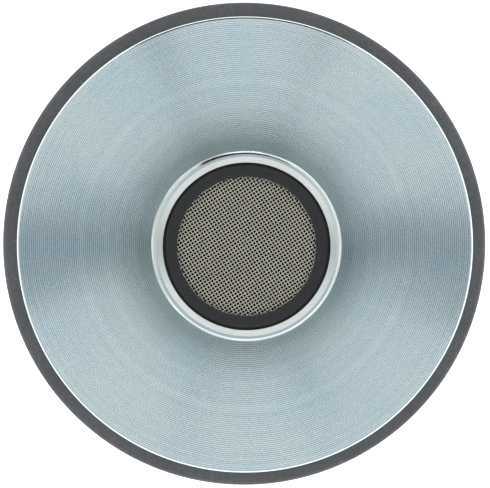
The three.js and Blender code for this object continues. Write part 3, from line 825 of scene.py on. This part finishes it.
# %% Threaded snout
THREAD_PITCH = 25.4 / 18
THREAD_MAJOR = 1.375 * 25.4 / 2
THREAD_MINOR = THREAD_MAJOR - 0.613 * THREAD_PITCH
THREAD_CREST = 0.125  # flat share of the pitch at the crest, and at the root
THREAD_RUN_OUT = 0.6  # height over which the thread runs out into the relief groove
THREAD_START = 1.6  # height below the rim over which the groove deepens
RELIEF = 1.6
RELIEF_DEPTH = 0.1  # below the thread's root
RIM_CHAMFER = 1.0
RIM_SLOPE = 1.35  # the chamfer starts at the rim flatter than 45 degrees, then keeps to 45 degrees
RIM_STEP = 0.12  # what the flatter part adds to the chamfer's width
RECESS_RADIUS = 15.4
THROAT_RADIUS = 12.7
POLE_RADIUS = 16.95
PLUG_BORE = 11.55
PLUG_SEAT = 34.8
PLUG_LEDGE = 2.1
RINGS_PER_TURN = 14
CHAMFER_RINGS = 14

screen_low, screen_high = span("throat_screen")
retainer_low, retainer_high = span("screen_ring")
rim = pole_high.z
relief_top = plate_high.z + RELIEF
chamfer_start = rim - RIM_CHAMFER
thread_step = THREAD_PITCH / RINGS_PER_TURN
thread_rings = int((chamfer_start - relief_top) / thread_step)
collar_rear = plate_low.z - 2


def thread_radius(height, angle):
    """The snout's outer radius at a height and an angle, for a right-hand thread."""
    turn = (height / THREAD_PITCH - angle / (2 * math.pi)) % 1
    from_crest = abs(turn - 0.5) * 2
    ramp = (from_crest - THREAD_CREST) / (1 - 2 * THREAD_CREST)
    depth = min(max(ramp, 0), 1)
    grown = min(max((height - relief_top) / THREAD_RUN_OUT, 0), 1)
    depth *= min(max((rim - height) / THREAD_START, 0), 1)
    full = THREAD_MAJOR - depth * (THREAD_MAJOR - THREAD_MINOR)
    return THREAD_MINOR + grown * (full - THREAD_MINOR)


snout = turned(
    "threaded_pole_piece",
    [
        (PLUG_BORE, pole_low.z),
        (POLE_RADIUS, pole_low.z),
        (POLE_RADIUS, collar_rear),
        (pole_high.x, collar_rear),
        (pole_high.x, plate_low.z),
        (THREAD_MAJOR, plate_low.z),
        (THREAD_MAJOR, plate_high.z),
        (THREAD_MINOR - RELIEF_DEPTH, plate_high.z),
        (THREAD_MINOR - RELIEF_DEPTH, relief_top),
        *[(THREAD_MINOR, relief_top + i * thread_step) for i in range(thread_rings + 1)],
        *[(THREAD_MINOR, chamfer_start + i * RIM_CHAMFER / CHAMFER_RINGS) for i in range(CHAMFER_RINGS)],
        (THREAD_MAJOR - RIM_CHAMFER, rim),
        (RECESS_RADIUS, rim),
        (RECESS_RADIUS, screen_low.z),
        (THROAT_RADIUS, screen_low.z),
        (PLUG_BORE - PLUG_LEDGE, PLUG_SEAT),
        (PLUG_BORE, PLUG_SEAT),
    ],
    edge=0,
)
for point in snout.data.vertices:
    spot = point.co / MM
    on_wall = spot.xy.length > THREAD_MINOR - 0.01 and spot.z > relief_top + 0.001
    if on_wall and spot.z < rim - 0.001:
        below_rim = rim - spot.z
        chamfer = min(below_rim * RIM_SLOPE, below_rim + RIM_STEP)
        chamfer_radius = THREAD_MAJOR - RIM_CHAMFER + chamfer
        radius = min(thread_radius(spot.z, math.atan2(spot.y, spot.x)), chamfer_radius)
        point.co.xy *= radius / spot.xy.length
break_edges(snout, 0)
finished(snout, snout_zinc, "motor", "turned_steel", "pole_piece")
bright_chamfers(snout, chamfer_start)
# The throat's faces below the screen get bare steel darkened to near black by painted shade.
snout.data.materials.append(bore_steel_painted_shade)
for face in snout.data.polygons:
    middle = face.center / MM
    if middle.xy.length < THROAT_RADIUS and middle.z < screen_low.z - 0.1:
        face.material_index = 2
print(f"{(chamfer_start - relief_top) / THREAD_PITCH:.1f} turns of thread")

# %% [markdown]
# ## The screen and its ring
#
# A fine stainless screen keeps dirt out of the throat, and a black nylon ring holds it in its recess
# with a little room all round. The screen is a real weave. One wire is a thin flattened bar, and its
# points rise and fall as it passes over and under the wires that cross it. Copies of it end just short
# of the recess's wall, and a second set crosses them, half a wave out of step.

# %% Screen ring
RETAINER_INNER = 12.75
RETAINER_OUTER = 14.95
FLANGE_RADIUS = RECESS_RADIUS - 0.03  # a thin flange at the rear keeps the ring centred
flange_top = retainer_low.z + 0.3

retainer = turned(
    "nylon_screen_ring",
    [
        (RETAINER_INNER, retainer_low.z),
        (FLANGE_RADIUS, retainer_low.z),
        (FLANGE_RADIUS, flange_top),
        (RETAINER_OUTER, flange_top),
        (RETAINER_OUTER, retainer_high.z),
        (RETAINER_INNER, retainer_high.z),
    ],
    edge=0.15,
)
finished(retainer, ring_nylon, "motor", "black_plastic", "screen_ring")

# %% Woven screen
# Woven stainless wire, rolled flat after weaving: pale and warm, with a highlight on each crossing.
stainless = grained("woven_stainless_wire", ("b3ae9f", "c6c1b2"), 0.8, 0.26, 0.0, metallic=1.0)

WEAVE_PITCH = 0.6  # the real screen has about 0.31 mm, drawn a little coarser so that it shows
WIRE_THICKNESS = 0.17
WIRE_WIDTH = 0.25
WIRE_SIDES = 6
WEAVE_ANGLE = math.radians(32)
SCREEN_RADIUS = 15.2
screen_middle = (screen_low.z + screen_high.z) / 2


def straight_wire(name, length):
    """A thin flattened bar along X with a ring of points at each half of the weave's pitch."""
    bpy.ops.object.select_all(action="DESELECT")
    bpy.ops.mesh.primitive_circle_add(
        vertices=WIRE_SIDES,
        radius=MM / 2,
        fill_type="NGON",
        location=(-length / 2 * MM, 0, 0),
        rotation=(0, QUARTER_TURN, 0),
    )
    bpy.context.object.scale = (WIRE_THICKNESS, WIRE_WIDTH, 1)
    bar = added(name)
    bpy.ops.object.mode_set(mode="EDIT")
    bpy.ops.mesh.select_all(action="SELECT")
    for _ in range(round(2 * length / WEAVE_PITCH)):
        bpy.ops.mesh.extrude_region_move(
            TRANSFORM_OT_translate={"value": (WEAVE_PITCH / 2 * MM, 0, 0)}
        )
    face_outwards()
    return bar


def woven_wires(name, angle, first_phase):
    """One direction of the weave: copies of a waved wire, each as long as the round screen is there."""
    count = int(SCREEN_RADIUS / WEAVE_PITCH)
    pattern = straight_wire(name, 2 * (count + 1) * WEAVE_PITCH)
    wires = []
    for row in range(-count, count + 1):
        wire = pattern.copy()
        wire.data = pattern.data.copy()
        scene.collection.objects.link(wire)
        reach = math.sqrt(SCREEN_RADIUS**2 - (row * WEAVE_PITCH) ** 2) * MM
        for point in wire.data.vertices:
            if abs(point.co.x) < reach:
                crossing = point.co.x / MM / WEAVE_PITCH + row + first_phase
                point.co.z += WIRE_THICKNESS / 2 * math.cos(math.pi * crossing) * MM
            else:
                point.co.x = math.copysign(reach, point.co.x)
            point.co.y += row * WEAVE_PITCH * MM
        wires.append(wire)
    bpy.data.objects.remove(pattern)
    select_only(*wires)
    bpy.ops.object.join()
    sheet = added(name)
    merge_doubles()
    bpy.ops.object.shade_smooth()
    return put(sheet, (0, 0, screen_middle), (0, 0, angle))


for name, angle, first_phase in [
    ("screen_warp_wires", WEAVE_ANGLE, 0),
    ("screen_weft_wires", WEAVE_ANGLE + QUARTER_TURN, 1),
]:
    wires = woven_wires(name, angle, first_phase)
    finished(wires, stainless, "motor", "woven_stainless", "throat_screen")

# %% [markdown]
# ## Phase plug
#
# The dome is wider than the throat, so sound from its middle and from its edge would arrive at
# different times. The phase plug fills the space under the dome and leaves two ring slots of matched
# length. It is three turned rings, each with a face that follows the dome, held together by thin ribs.

# %% Dome and plug curves
DOME_HEIGHT = 6.8
COIL_RADIUS = 17.2
SPHERE_RADIUS = (COIL_RADIUS**2 + DOME_HEIGHT**2) / (2 * DOME_HEIGHT)
PLUG_RIM_HEIGHT = 21.8
_, film_high = span("surround")
_, dome_high = span("dome")


def dome_rise(radius):
    """How far the dome's sphere stands behind its rim at a radius."""
    return math.sqrt(SPHERE_RADIUS**2 - radius**2) - (SPHERE_RADIUS - DOME_HEIGHT)


def along_dome(start, end, rim_height, steps=14):
    """Outline points on a sphere that lies behind a rim at a height."""
    radii = [start + (end - start) * i / steps for i in range(steps + 1)]
    return [(r, rim_height - dome_rise(r)) for r in radii]


# %% Phase plug
BULLET_EDGE = 6.6
MIDDLE_INNER, MIDDLE_OUTER = 7.4, 12.6  # 0.8 mm slots are left on both sides of this ring
OUTER_INNER, OUTER_EDGE = 13.4, 16.6
GLUE_GAP = 0.03
PLUG_TOP = PLUG_SEAT - GLUE_GAP
RIB_REACH, RIB_HALF = 10.5, 0.5
rib_low, rib_high = PLUG_TOP - 8, PLUG_TOP - 4
bullet = turned(
    "phase_plug",
    [*along_dome(0, BULLET_EDGE, PLUG_RIM_HEIGHT), (4.2, PLUG_TOP - 3), (0, PLUG_TOP + 11)],
    sides=96,
)
middle_plug = turned(
    "middle_plug",
    [
        *along_dome(MIDDLE_INNER, MIDDLE_OUTER, PLUG_RIM_HEIGHT),
        (8.2, PLUG_TOP - 2),
        (7.0, PLUG_TOP),
    ],
    sides=96,
)
outer_plug = turned(
    "outer_plug",
    [
        *along_dome(OUTER_INNER, OUTER_EDGE, PLUG_RIM_HEIGHT),
        (OUTER_EDGE, pole_low.z - GLUE_GAP),
        (11.52, pole_low.z - GLUE_GAP),
        (11.52, PLUG_TOP),
        (9.45, PLUG_TOP),
        (9.45, pole_low.z + 1.97),
    ],
    sides=96,
)
ribs = [
    block((-RIB_REACH, -RIB_HALF, rib_low), (RIB_REACH, RIB_HALF, rib_high)),
    block((-RIB_HALF, -RIB_REACH, rib_low), (RIB_HALF, RIB_REACH, rib_high)),
]
for part in (middle_plug, outer_plug, *ribs):
    combine(bullet, part, "UNION")
break_edges(bullet, 0)
finished(bullet, phenolic, "motor", "grey_plastic", "phase_plug")

# %% [markdown]
# ## Diaphragm
#
# The dome is pressed from titanium foil. Its edge is glued to a half-roll of polyimide film, which lets
# it travel 0.4 mm each way, and to a thin former that carries the voice coil in the magnet's gap. A
# moulded ring clamps the film's outer edge against a fibre spacer on the top plate.

# %% Dome, surround and former
FOIL = 0.12
LIP_RADIUS = 18.05
FOIL_REACH = 16.9

foil_rear = dome_high.z - FOIL
titanium_dome = turned(
    "titanium_dome",
    [
        *along_dome(0, FOIL_REACH, foil_rear),
        (LIP_RADIUS, foil_rear),
        (LIP_RADIUS, dome_high.z),
        *reversed(along_dome(0, FOIL_REACH, dome_high.z)),
    ],
    edge=0,
)
finished(titanium_dome, titanium, "diaphragm", "titanium", "dome")

# The film's glued inner edge is under the dome's lip and isn't drawn, so that the dome is free to move.
ROLL_INNER = 18.1
ROLL_WIDTH = 2.6
ROLL_DEPTH = 0.85
FILM = 0.15
film_rear = film_high.z - FILM


def half_roll(height, steps=12):
    """Outline points of the surround's roll, from its inner to its outer edge."""
    shares = [i / steps for i in range(steps + 1)]
    return [
        (ROLL_INNER + s * ROLL_WIDTH, height - ROLL_DEPTH * math.sin(math.pi * s)) for s in shares
    ]


film = turned(
    "polyimide_surround",
    [
        *half_roll(film_rear),
        (film_high.x, film_rear),
        (film_high.x, film_high.z),
        *reversed(half_roll(film_high.z)),
    ],
    edge=0,
)
finished(film, polyimide, "motor", "amber_film", "surround")

former_low, former_high = span("coil_former")
former = turned_ring("polyimide_former", 17.2, former_high.x, former_low.z, former_high.z, edge=0.03)
finished(former, polyimide, "diaphragm", "amber_film", "coil_former")

# %% Voice coil
# Flat copper-clad wire, wound on edge and lacquered: fine turns with a dark line between each two.
WIRE_PITCH = 0.2
enamelled_copper, tree, shader, points = start_material(
    "enamelled_copper_winding", Metallic=1.0, Roughness=0.3
)
turns = add_node(
    tree,
    "ShaderNodeTexWave",
    {"wave_type": "BANDS", "bands_direction": "Z"},
    {"Vector": points, "Scale": WAVE_SCALE / WIRE_PITCH},
)
lacquer = add_node(
    tree,
    "ShaderNodeValToRGB",
    inputs={"Fac": turns.outputs["Fac"]},
    stops=[(0.0, "6a2a14"), (1.0, "c0693c")],
)
tree.links.new(lacquer.outputs["Color"], shader.inputs["Base Color"])
wound = add_node(
    tree, "ShaderNodeBump", inputs={"Height": turns.outputs["Fac"], "Distance": 0.04 * MM}
)
tree.links.new(wound.outputs["Normal"], shader.inputs["Normal"])

coil_low, coil_high = span("voice_coil")
voice_coil = turned_ring("edge_wound_coil", 17.33, coil_high.x, coil_low.z, coil_high.z, edge=0.05)
finished(voice_coil, enamelled_copper, "diaphragm", "copper", "voice_coil")

# %% Clamping rings
for name, node, inner, material, slot in [
    ("moulded_diaphragm_ring", "diaphragm_ring", 20.7, phenolic, "grey_plastic"),
    ("fibre_spacer_ring", "spacer_ring", 21.0, fibre, "fibre"),
]:
    low, high = span(node)
    clamp = turned_ring(name, inner, high.x, low.z, high.z, edge=0)
    drill(clamp, RING_SCREWS, M3_CLEAR, low.z - 1, high.z + 1)
    break_edges(clamp, 0.08)
    finished(clamp, material, "motor", slot, node)


# %% [markdown]
# ## Screws
#
# The diaphragm's ring is held by four M3 screws and the cover by four M4. A pan head is turned, its
# cross recess is cut, and the screw is then copied to each of its places and turned to a given angle.

# %% Pan-head screws
FLANGE_REAR = 16  # the cover's flange, on which its screws sit
RING_SCREW_SEAT = 18.75


def pan_screw(name, shank, head, head_height, slot_width, slot_depth, length):
    """A screw that points up, with its head's seat at height zero."""
    rear = -head_height
    screw = turned(
        name,
        [
            (0, rear),
            (head * 0.45, rear + 0.02),
            (head - 0.7, rear + 0.12),
            (head - 0.25, rear + 0.4),
            (head, rear + 0.9),
            (head, 0),
            (shank, 0),
            (shank, length - 0.3),
            (shank - 0.3, length),
            (0, length),
        ],
        sides=48,
        edge=0,
    )
    reach = head * 0.62
    half = slot_width / 2
    floor = rear + slot_depth
    combine(screw, block((-reach, -half, rear - 1), (reach, half, floor)), "DIFFERENCE")
    combine(screw, block((-half, -reach, rear - 1), (half, reach, floor)), "DIFFERENCE")
    break_edges(screw, 0.08)
    return screw


def screwed_in(pattern, name, spots, seat):
    """Copies a screw to its places, each turned a little differently, and removes the pattern."""
    for i, (x, y, angle) in enumerate(spots, start=1):
        screw = pattern.copy()
        screw.data = pattern.data.copy()
        screw.name = f"{name}_{i}_turned"
        scene.collection.objects.link(screw)
        put(screw, (x, y, seat), (0, 0, angle + 0.4 * i))
        finished(screw, black_steel, "motor", "black_steel", f"{name}_{i}")
    bpy.data.objects.remove(pattern)


m3 = pan_screw(
    "m3_screw", shank=1.5, head=2.7, head_height=1.7, slot_width=0.8, slot_depth=0.9, length=7.05
)
screwed_in(m3, "ring_screw", RING_SCREWS, RING_SCREW_SEAT)
m4 = pan_screw(
    "m4_screw", shank=2.0, head=3.5, head_height=2.6, slot_width=1.0, slot_depth=1.5, length=10.4
)
screwed_in(m4, "cover_screw", COVER_SCREWS, FLANGE_REAR)

# %% [markdown]
# ## Rear cover
#
# The cover is one nylon moulding: a shallow can with a flange for its screws. On one side the can has a
# flat boss that the terminals pass through. The can is turned, the boss is joined on, and the flat and
# the holes are cut.

# %% Rear cover
CAN_OUTER = 34
CAN_INNER = 31.7
CAN_FLOOR = 2.3
CORNER = 3
FOOT_RECESS = 24
RECESS_DEPTH = 0.5
CORNER_STEPS = 8
BOSS_HALF = 13.7
BOSS_FACE = 33
BOSS_INNER = 29.09
TERMINAL_HEIGHT = 8.9
TERMINAL_SPOTS = {"red": -7.5, "black": 7.5}

turns = [i * QUARTER_TURN / CORNER_STEPS for i in range(CORNER_STEPS + 1)]
corner = [
    (CAN_OUTER - CORNER + CORNER * math.sin(turn), CORNER - CORNER * math.cos(turn)) for turn in turns
]
cover = turned(
    "moulded_rear_cover",
    [
        (0, RECESS_DEPTH),
        (FOOT_RECESS, RECESS_DEPTH),
        (FOOT_RECESS, 0),
        *corner,
        (CAN_OUTER, FLANGE_REAR),
        (cover_high.x - 0.6, FLANGE_REAR),
        (cover_high.x, FLANGE_REAR + 0.6),
        (cover_high.x, cover_high.z),
        (CAN_INNER, cover_high.z),
        (CAN_INNER, CAN_FLOOR),
        (0, CAN_FLOOR),
    ],
    edge=0,
)
combine(cover, block((-BOSS_HALF, -BOSS_FACE, 1.5), (BOSS_HALF, -BOSS_INNER, 17)), "UNION")
combine(
    cover,
    block((-BOSS_HALF, -CAN_OUTER - 1, -1), (BOSS_HALF, -BOSS_FACE, FLANGE_REAR)),
    "DIFFERENCE",
)
drill(cover, COVER_SCREWS, M4_CLEAR, FLANGE_REAR - 1, cover_high.z + 1)
for x in TERMINAL_SPOTS.values():
    hole = put(rod(3.15, -1, 6), (x, -BOSS_FACE, TERMINAL_HEIGHT), (-QUARTER_TURN, 0, 0))
    combine(cover, hole, "DIFFERENCE")
break_edges(cover, 0.15)
finished(cover, nylon, "motor", "black_plastic", "rear_cover")

# %% Gasket and felt
gasket_low, gasket_high = span("cover_gasket")
gasket = turned_ring(
    "foam_gasket", 32.4, gasket_high.x, gasket_low.z, gasket_high.z, sides=144, edge=0
)
drill(gasket, COVER_SCREWS, M4_CLEAR, gasket_low.z - 1, gasket_high.z + 1)
break_edges(gasket, 0.2)
finished(gasket, foam, "motor", "foam", "cover_gasket")

FELT_RADIUS = 26
FELT_CUT = 18.5
felt_low, felt_high = span("damping_pad")
felt_disc = turned(
    "felt_disc",
    [(0, felt_low.z), (FELT_RADIUS, felt_low.z), (FELT_RADIUS, felt_high.z), (0, felt_high.z)],
    sides=144,
    edge=0,
)
bpy.ops.object.mode_set(mode="EDIT")
bpy.ops.mesh.select_all(action="SELECT")
bpy.ops.mesh.bisect(
    plane_co=(0, -FELT_CUT * MM, 0), plane_no=(0, 1, 0), use_fill=True, clear_inner=True
)
bpy.ops.object.mode_set(mode="OBJECT")
break_edges(felt_disc, 0.5)
finished(felt_disc, felt, "motor", "felt", "damping_pad")

# %% [markdown]
# ## Spring terminals
#
# Pressing a button lines its plunger's cross hole up with the bushing's, a bare wire goes through both,
# and the spring then holds the wire. Each part is turned about Z and then laid over so that it points
# out of the cover. The spring is a ring of points swept by the Screw modifier.

# %% Terminal parts
TURN_OUT = (QUARTER_TURN, 0, 0)
SPRING_SEAT = 4.14
SPRING_END = 9.76
SPRING_WIRE = 0.45
SPRING_COILS = 5
FLUTES = 20
FLUTE_SHARE = 0.018  # half a flute's depth, as a share of the radius
SKIRT_INNER, SKIRT_LOW, SKIRT_HIGH = 5, 6.95, 10.35  # what the flutes are pressed into


def drilled_part(name, outline, sides, hole, edge):
    """A turned part of a terminal, with a hole across it for the bare wire at a height."""
    part = turned(name, outline, sides, edge=0)
    cutter = put(rod(1, -6, 6, sides=32), (0, 0, hole), (0, QUARTER_TURN, 0))
    combine(part, cutter, "DIFFERENCE")
    break_edges(part, edge)
    return part


def terminal_bushing(name):
    """The fixed sleeve: a tail for the nut, a flange on the cover and a barrel with a spring pocket."""
    outline = [
        (2.15, -6.99), (2.7, -6.99), (3, -6.69), (3, 0.04), (5.2, 0.04), (5.4, 0.24), (5.4, 1.0),
        (5.2, 1.2), (4, 1.2), (4, 6.8), (3.8, 7), (3.2, 7), (3.2, 4.1), (2.15, 4.1),
    ]
    return drilled_part(name, outline, sides=64, hole=2.4, edge=0.06)


def terminal_plunger(name):
    """The sliding pin, with a groove for its clip and its cross hole."""
    outline = [
        (0, -8.47), (1.7, -8.47), (2, -8.17), (2, -7.67), (1.6, -7.67), (1.6, -7.03),
        (2, -7.03), (2, 10.55), (0, 10.55),
    ]
    return drilled_part(name, outline, sides=48, hole=4.9, edge=0.05)


def terminal_button(name):
    """The moulded cap, with shallow flutes round its skirt for a fingertip and a dished top."""
    button = turned(
        name,
        [
            (0, 10.58), (2.03, 10.58), (2.03, 9.8), (4.15, 9.8), (4.15, 6.2), (4.9, 6.2),
            (5.1, 6.4), (5.1, 6.9), (5.1, 7.0), (5.1, 10.3), (5.1, 10.4), (5.0, 10.9),
            (4.6, 11.3), (3.6, 11.3), (2.6, 11.15), (0, 11.0),
        ],
        sides=160,
        edge=0,
    )
    for point in button.data.vertices:
        spot = point.co / MM
        if spot.xy.length > SKIRT_INNER and SKIRT_LOW < spot.z < SKIRT_HIGH:
            wave = math.cos(FLUTES * math.atan2(spot.y, spot.x))
            point.co.xy *= 1 - FLUTE_SHARE * (1 + wave)
    break_edges(button, 0.06)
    return button


def terminal_spring(name):
    """A compression spring between the bushing's pocket and the button."""
    half = SPRING_WIRE / 2
    bpy.ops.object.select_all(action="DESELECT")
    bpy.ops.mesh.primitive_circle_add(
        vertices=10,
        radius=half * MM,
        location=(2.6 * MM, 0, (SPRING_SEAT + half) * MM),
        rotation=(QUARTER_TURN, 0, 0),
    )
    spring = added(name)
    sweep = spring.modifiers.new("sweep", "SCREW")
    sweep.axis = "Z"
    sweep.angle = 2 * math.pi
    sweep.iterations = SPRING_COILS
    sweep.screw_offset = (SPRING_END - SPRING_SEAT - SPRING_WIRE) / SPRING_COILS * MM
    sweep.steps = sweep.render_steps = 28
    apply_modifiers(spring)
    bpy.ops.object.mode_set(mode="EDIT")
    bpy.ops.mesh.select_all(action="DESELECT")
    bpy.ops.mesh.select_non_manifold()
    bpy.ops.mesh.edge_face_add()
    face_outwards()
    break_edges(spring, 0)
    return spring


for color, plastic in [("red", red_abs), ("black", black_abs)]:
    seat = (TERMINAL_SPOTS[color], -BOSS_FACE, TERMINAL_HEIGHT)
    pushed = f"{color}_terminal_button"
    bushing = put(terminal_bushing(f"{color}_turned_bushing"), seat, TURN_OUT)
    finished(bushing, nickel, "motor", "nickel", f"{color}_bushing")
    plunger = put(terminal_plunger(f"{color}_turned_plunger"), seat, TURN_OUT)
    finished(plunger, nickel, pushed, "nickel", f"{color}_plunger")
    button = put(terminal_button(f"{color}_fluted_button"), seat, TURN_OUT)
    slot = "red_plastic" if color == "red" else "jet_plastic"
    finished(button, plastic, pushed, slot, f"{color}_button")
    clip = turned_ring(f"{color}_turned_clip", 1.63, 3.0, -7.64, -7.04, sides=48, edge=0.06)
    finished(put(clip, seat, TURN_OUT), black_steel, pushed, "black_steel", f"{color}_clip")
    spring = put(terminal_spring(f"{color}_coil_spring"), seat, TURN_OUT)
    finished(spring, spring_steel, "motor", "spring_steel", f"{color}_spring")
    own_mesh(spring)

# %% [markdown]
# ## Inside leads
#
# A short insulated wire runs in a loop from each terminal's solder tag to the diaphragm's tab. It is a
# smooth curve through five points with a round section, turned to a mesh at the end. The tags, tabs and
# nuts are small stampings whose working shapes are already right, so they stay and get their finish.


# %% Lead wires
def lead_wire(name, side):
    """An insulated wire from a terminal's tag to its tab. Side is -1 for red and 1 for black."""
    tag = Vector((7.5 * side, -27.6, 15.3))
    tab = Vector((11.19 * side, -25.12, 18.05))
    path = [
        tag,
        tag + Vector((2.2 * side, 1.6, -0.6)),
        tag + Vector((6 * side, 5, -2.5)),
        tab + Vector((0.3 * side, 0.6, -2.4)),
        tab,
    ]
    curve = bpy.data.curves.new(name, "CURVE")
    curve.dimensions = "3D"
    curve.bevel_depth = 0.72 * MM
    curve.bevel_resolution = 3
    curve.use_fill_caps = True
    spline = curve.splines.new("BEZIER")
    spline.bezier_points.add(len(path) - 1)
    for knot, spot in zip(spline.bezier_points, path):
        knot.co = spot * MM
        knot.handle_left_type = knot.handle_right_type = "AUTO"
    wire = bpy.data.objects.new(name, curve)
    scene.collection.objects.link(wire)
    select_only(wire)
    bpy.ops.object.convert(target="MESH")
    wire = added(name)
    break_edges(wire, 0)
    return wire


for color, side, cover_plastic in [("red", -1, red_pvc), ("black", 1, black_pvc)]:
    wire = lead_wire(f"{color}_insulated_wire", side)
    slot = "red_plastic" if color == "red" else "jet_plastic"
    finished(wire, cover_plastic, "motor", slot, f"{color}_lead_wire")
    for node in ("solder_tab", "solder_tag", "nut"):
        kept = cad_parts[f"{color}_{node}"]
        kept.data.materials.clear()
        kept.data.materials.append(brass)

# %% [markdown]
# ## Lead-out foils
#
# A strip of copper foil joins each fixed tab to the moving dome, so it flexes at every stroke. Each is a
# copy of the working model's foil.

for color, side in [("red", -1), ("black", 1)]:
    working_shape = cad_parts[f"{color}_lead_out"].data
    strip = bpy.data.objects.new(f"{color}_copper_foil", working_shape.copy())
    scene.collection.objects.link(strip)
    select_only(strip)
    merge_doubles()
    break_edges(strip, 0.02)
    strip.data.materials.clear()
    strip.data.materials.append(copper)
    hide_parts(f"{color}_lead_out")
    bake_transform(strip)

# %% [markdown]
# ## Sizes, and the end
#
# The finished driver has to fill the same box as the working model, so its size is printed.

# %% Sizes
low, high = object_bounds()
print("visual size in mm:", [round(side / MM, 2) for side in high - low])
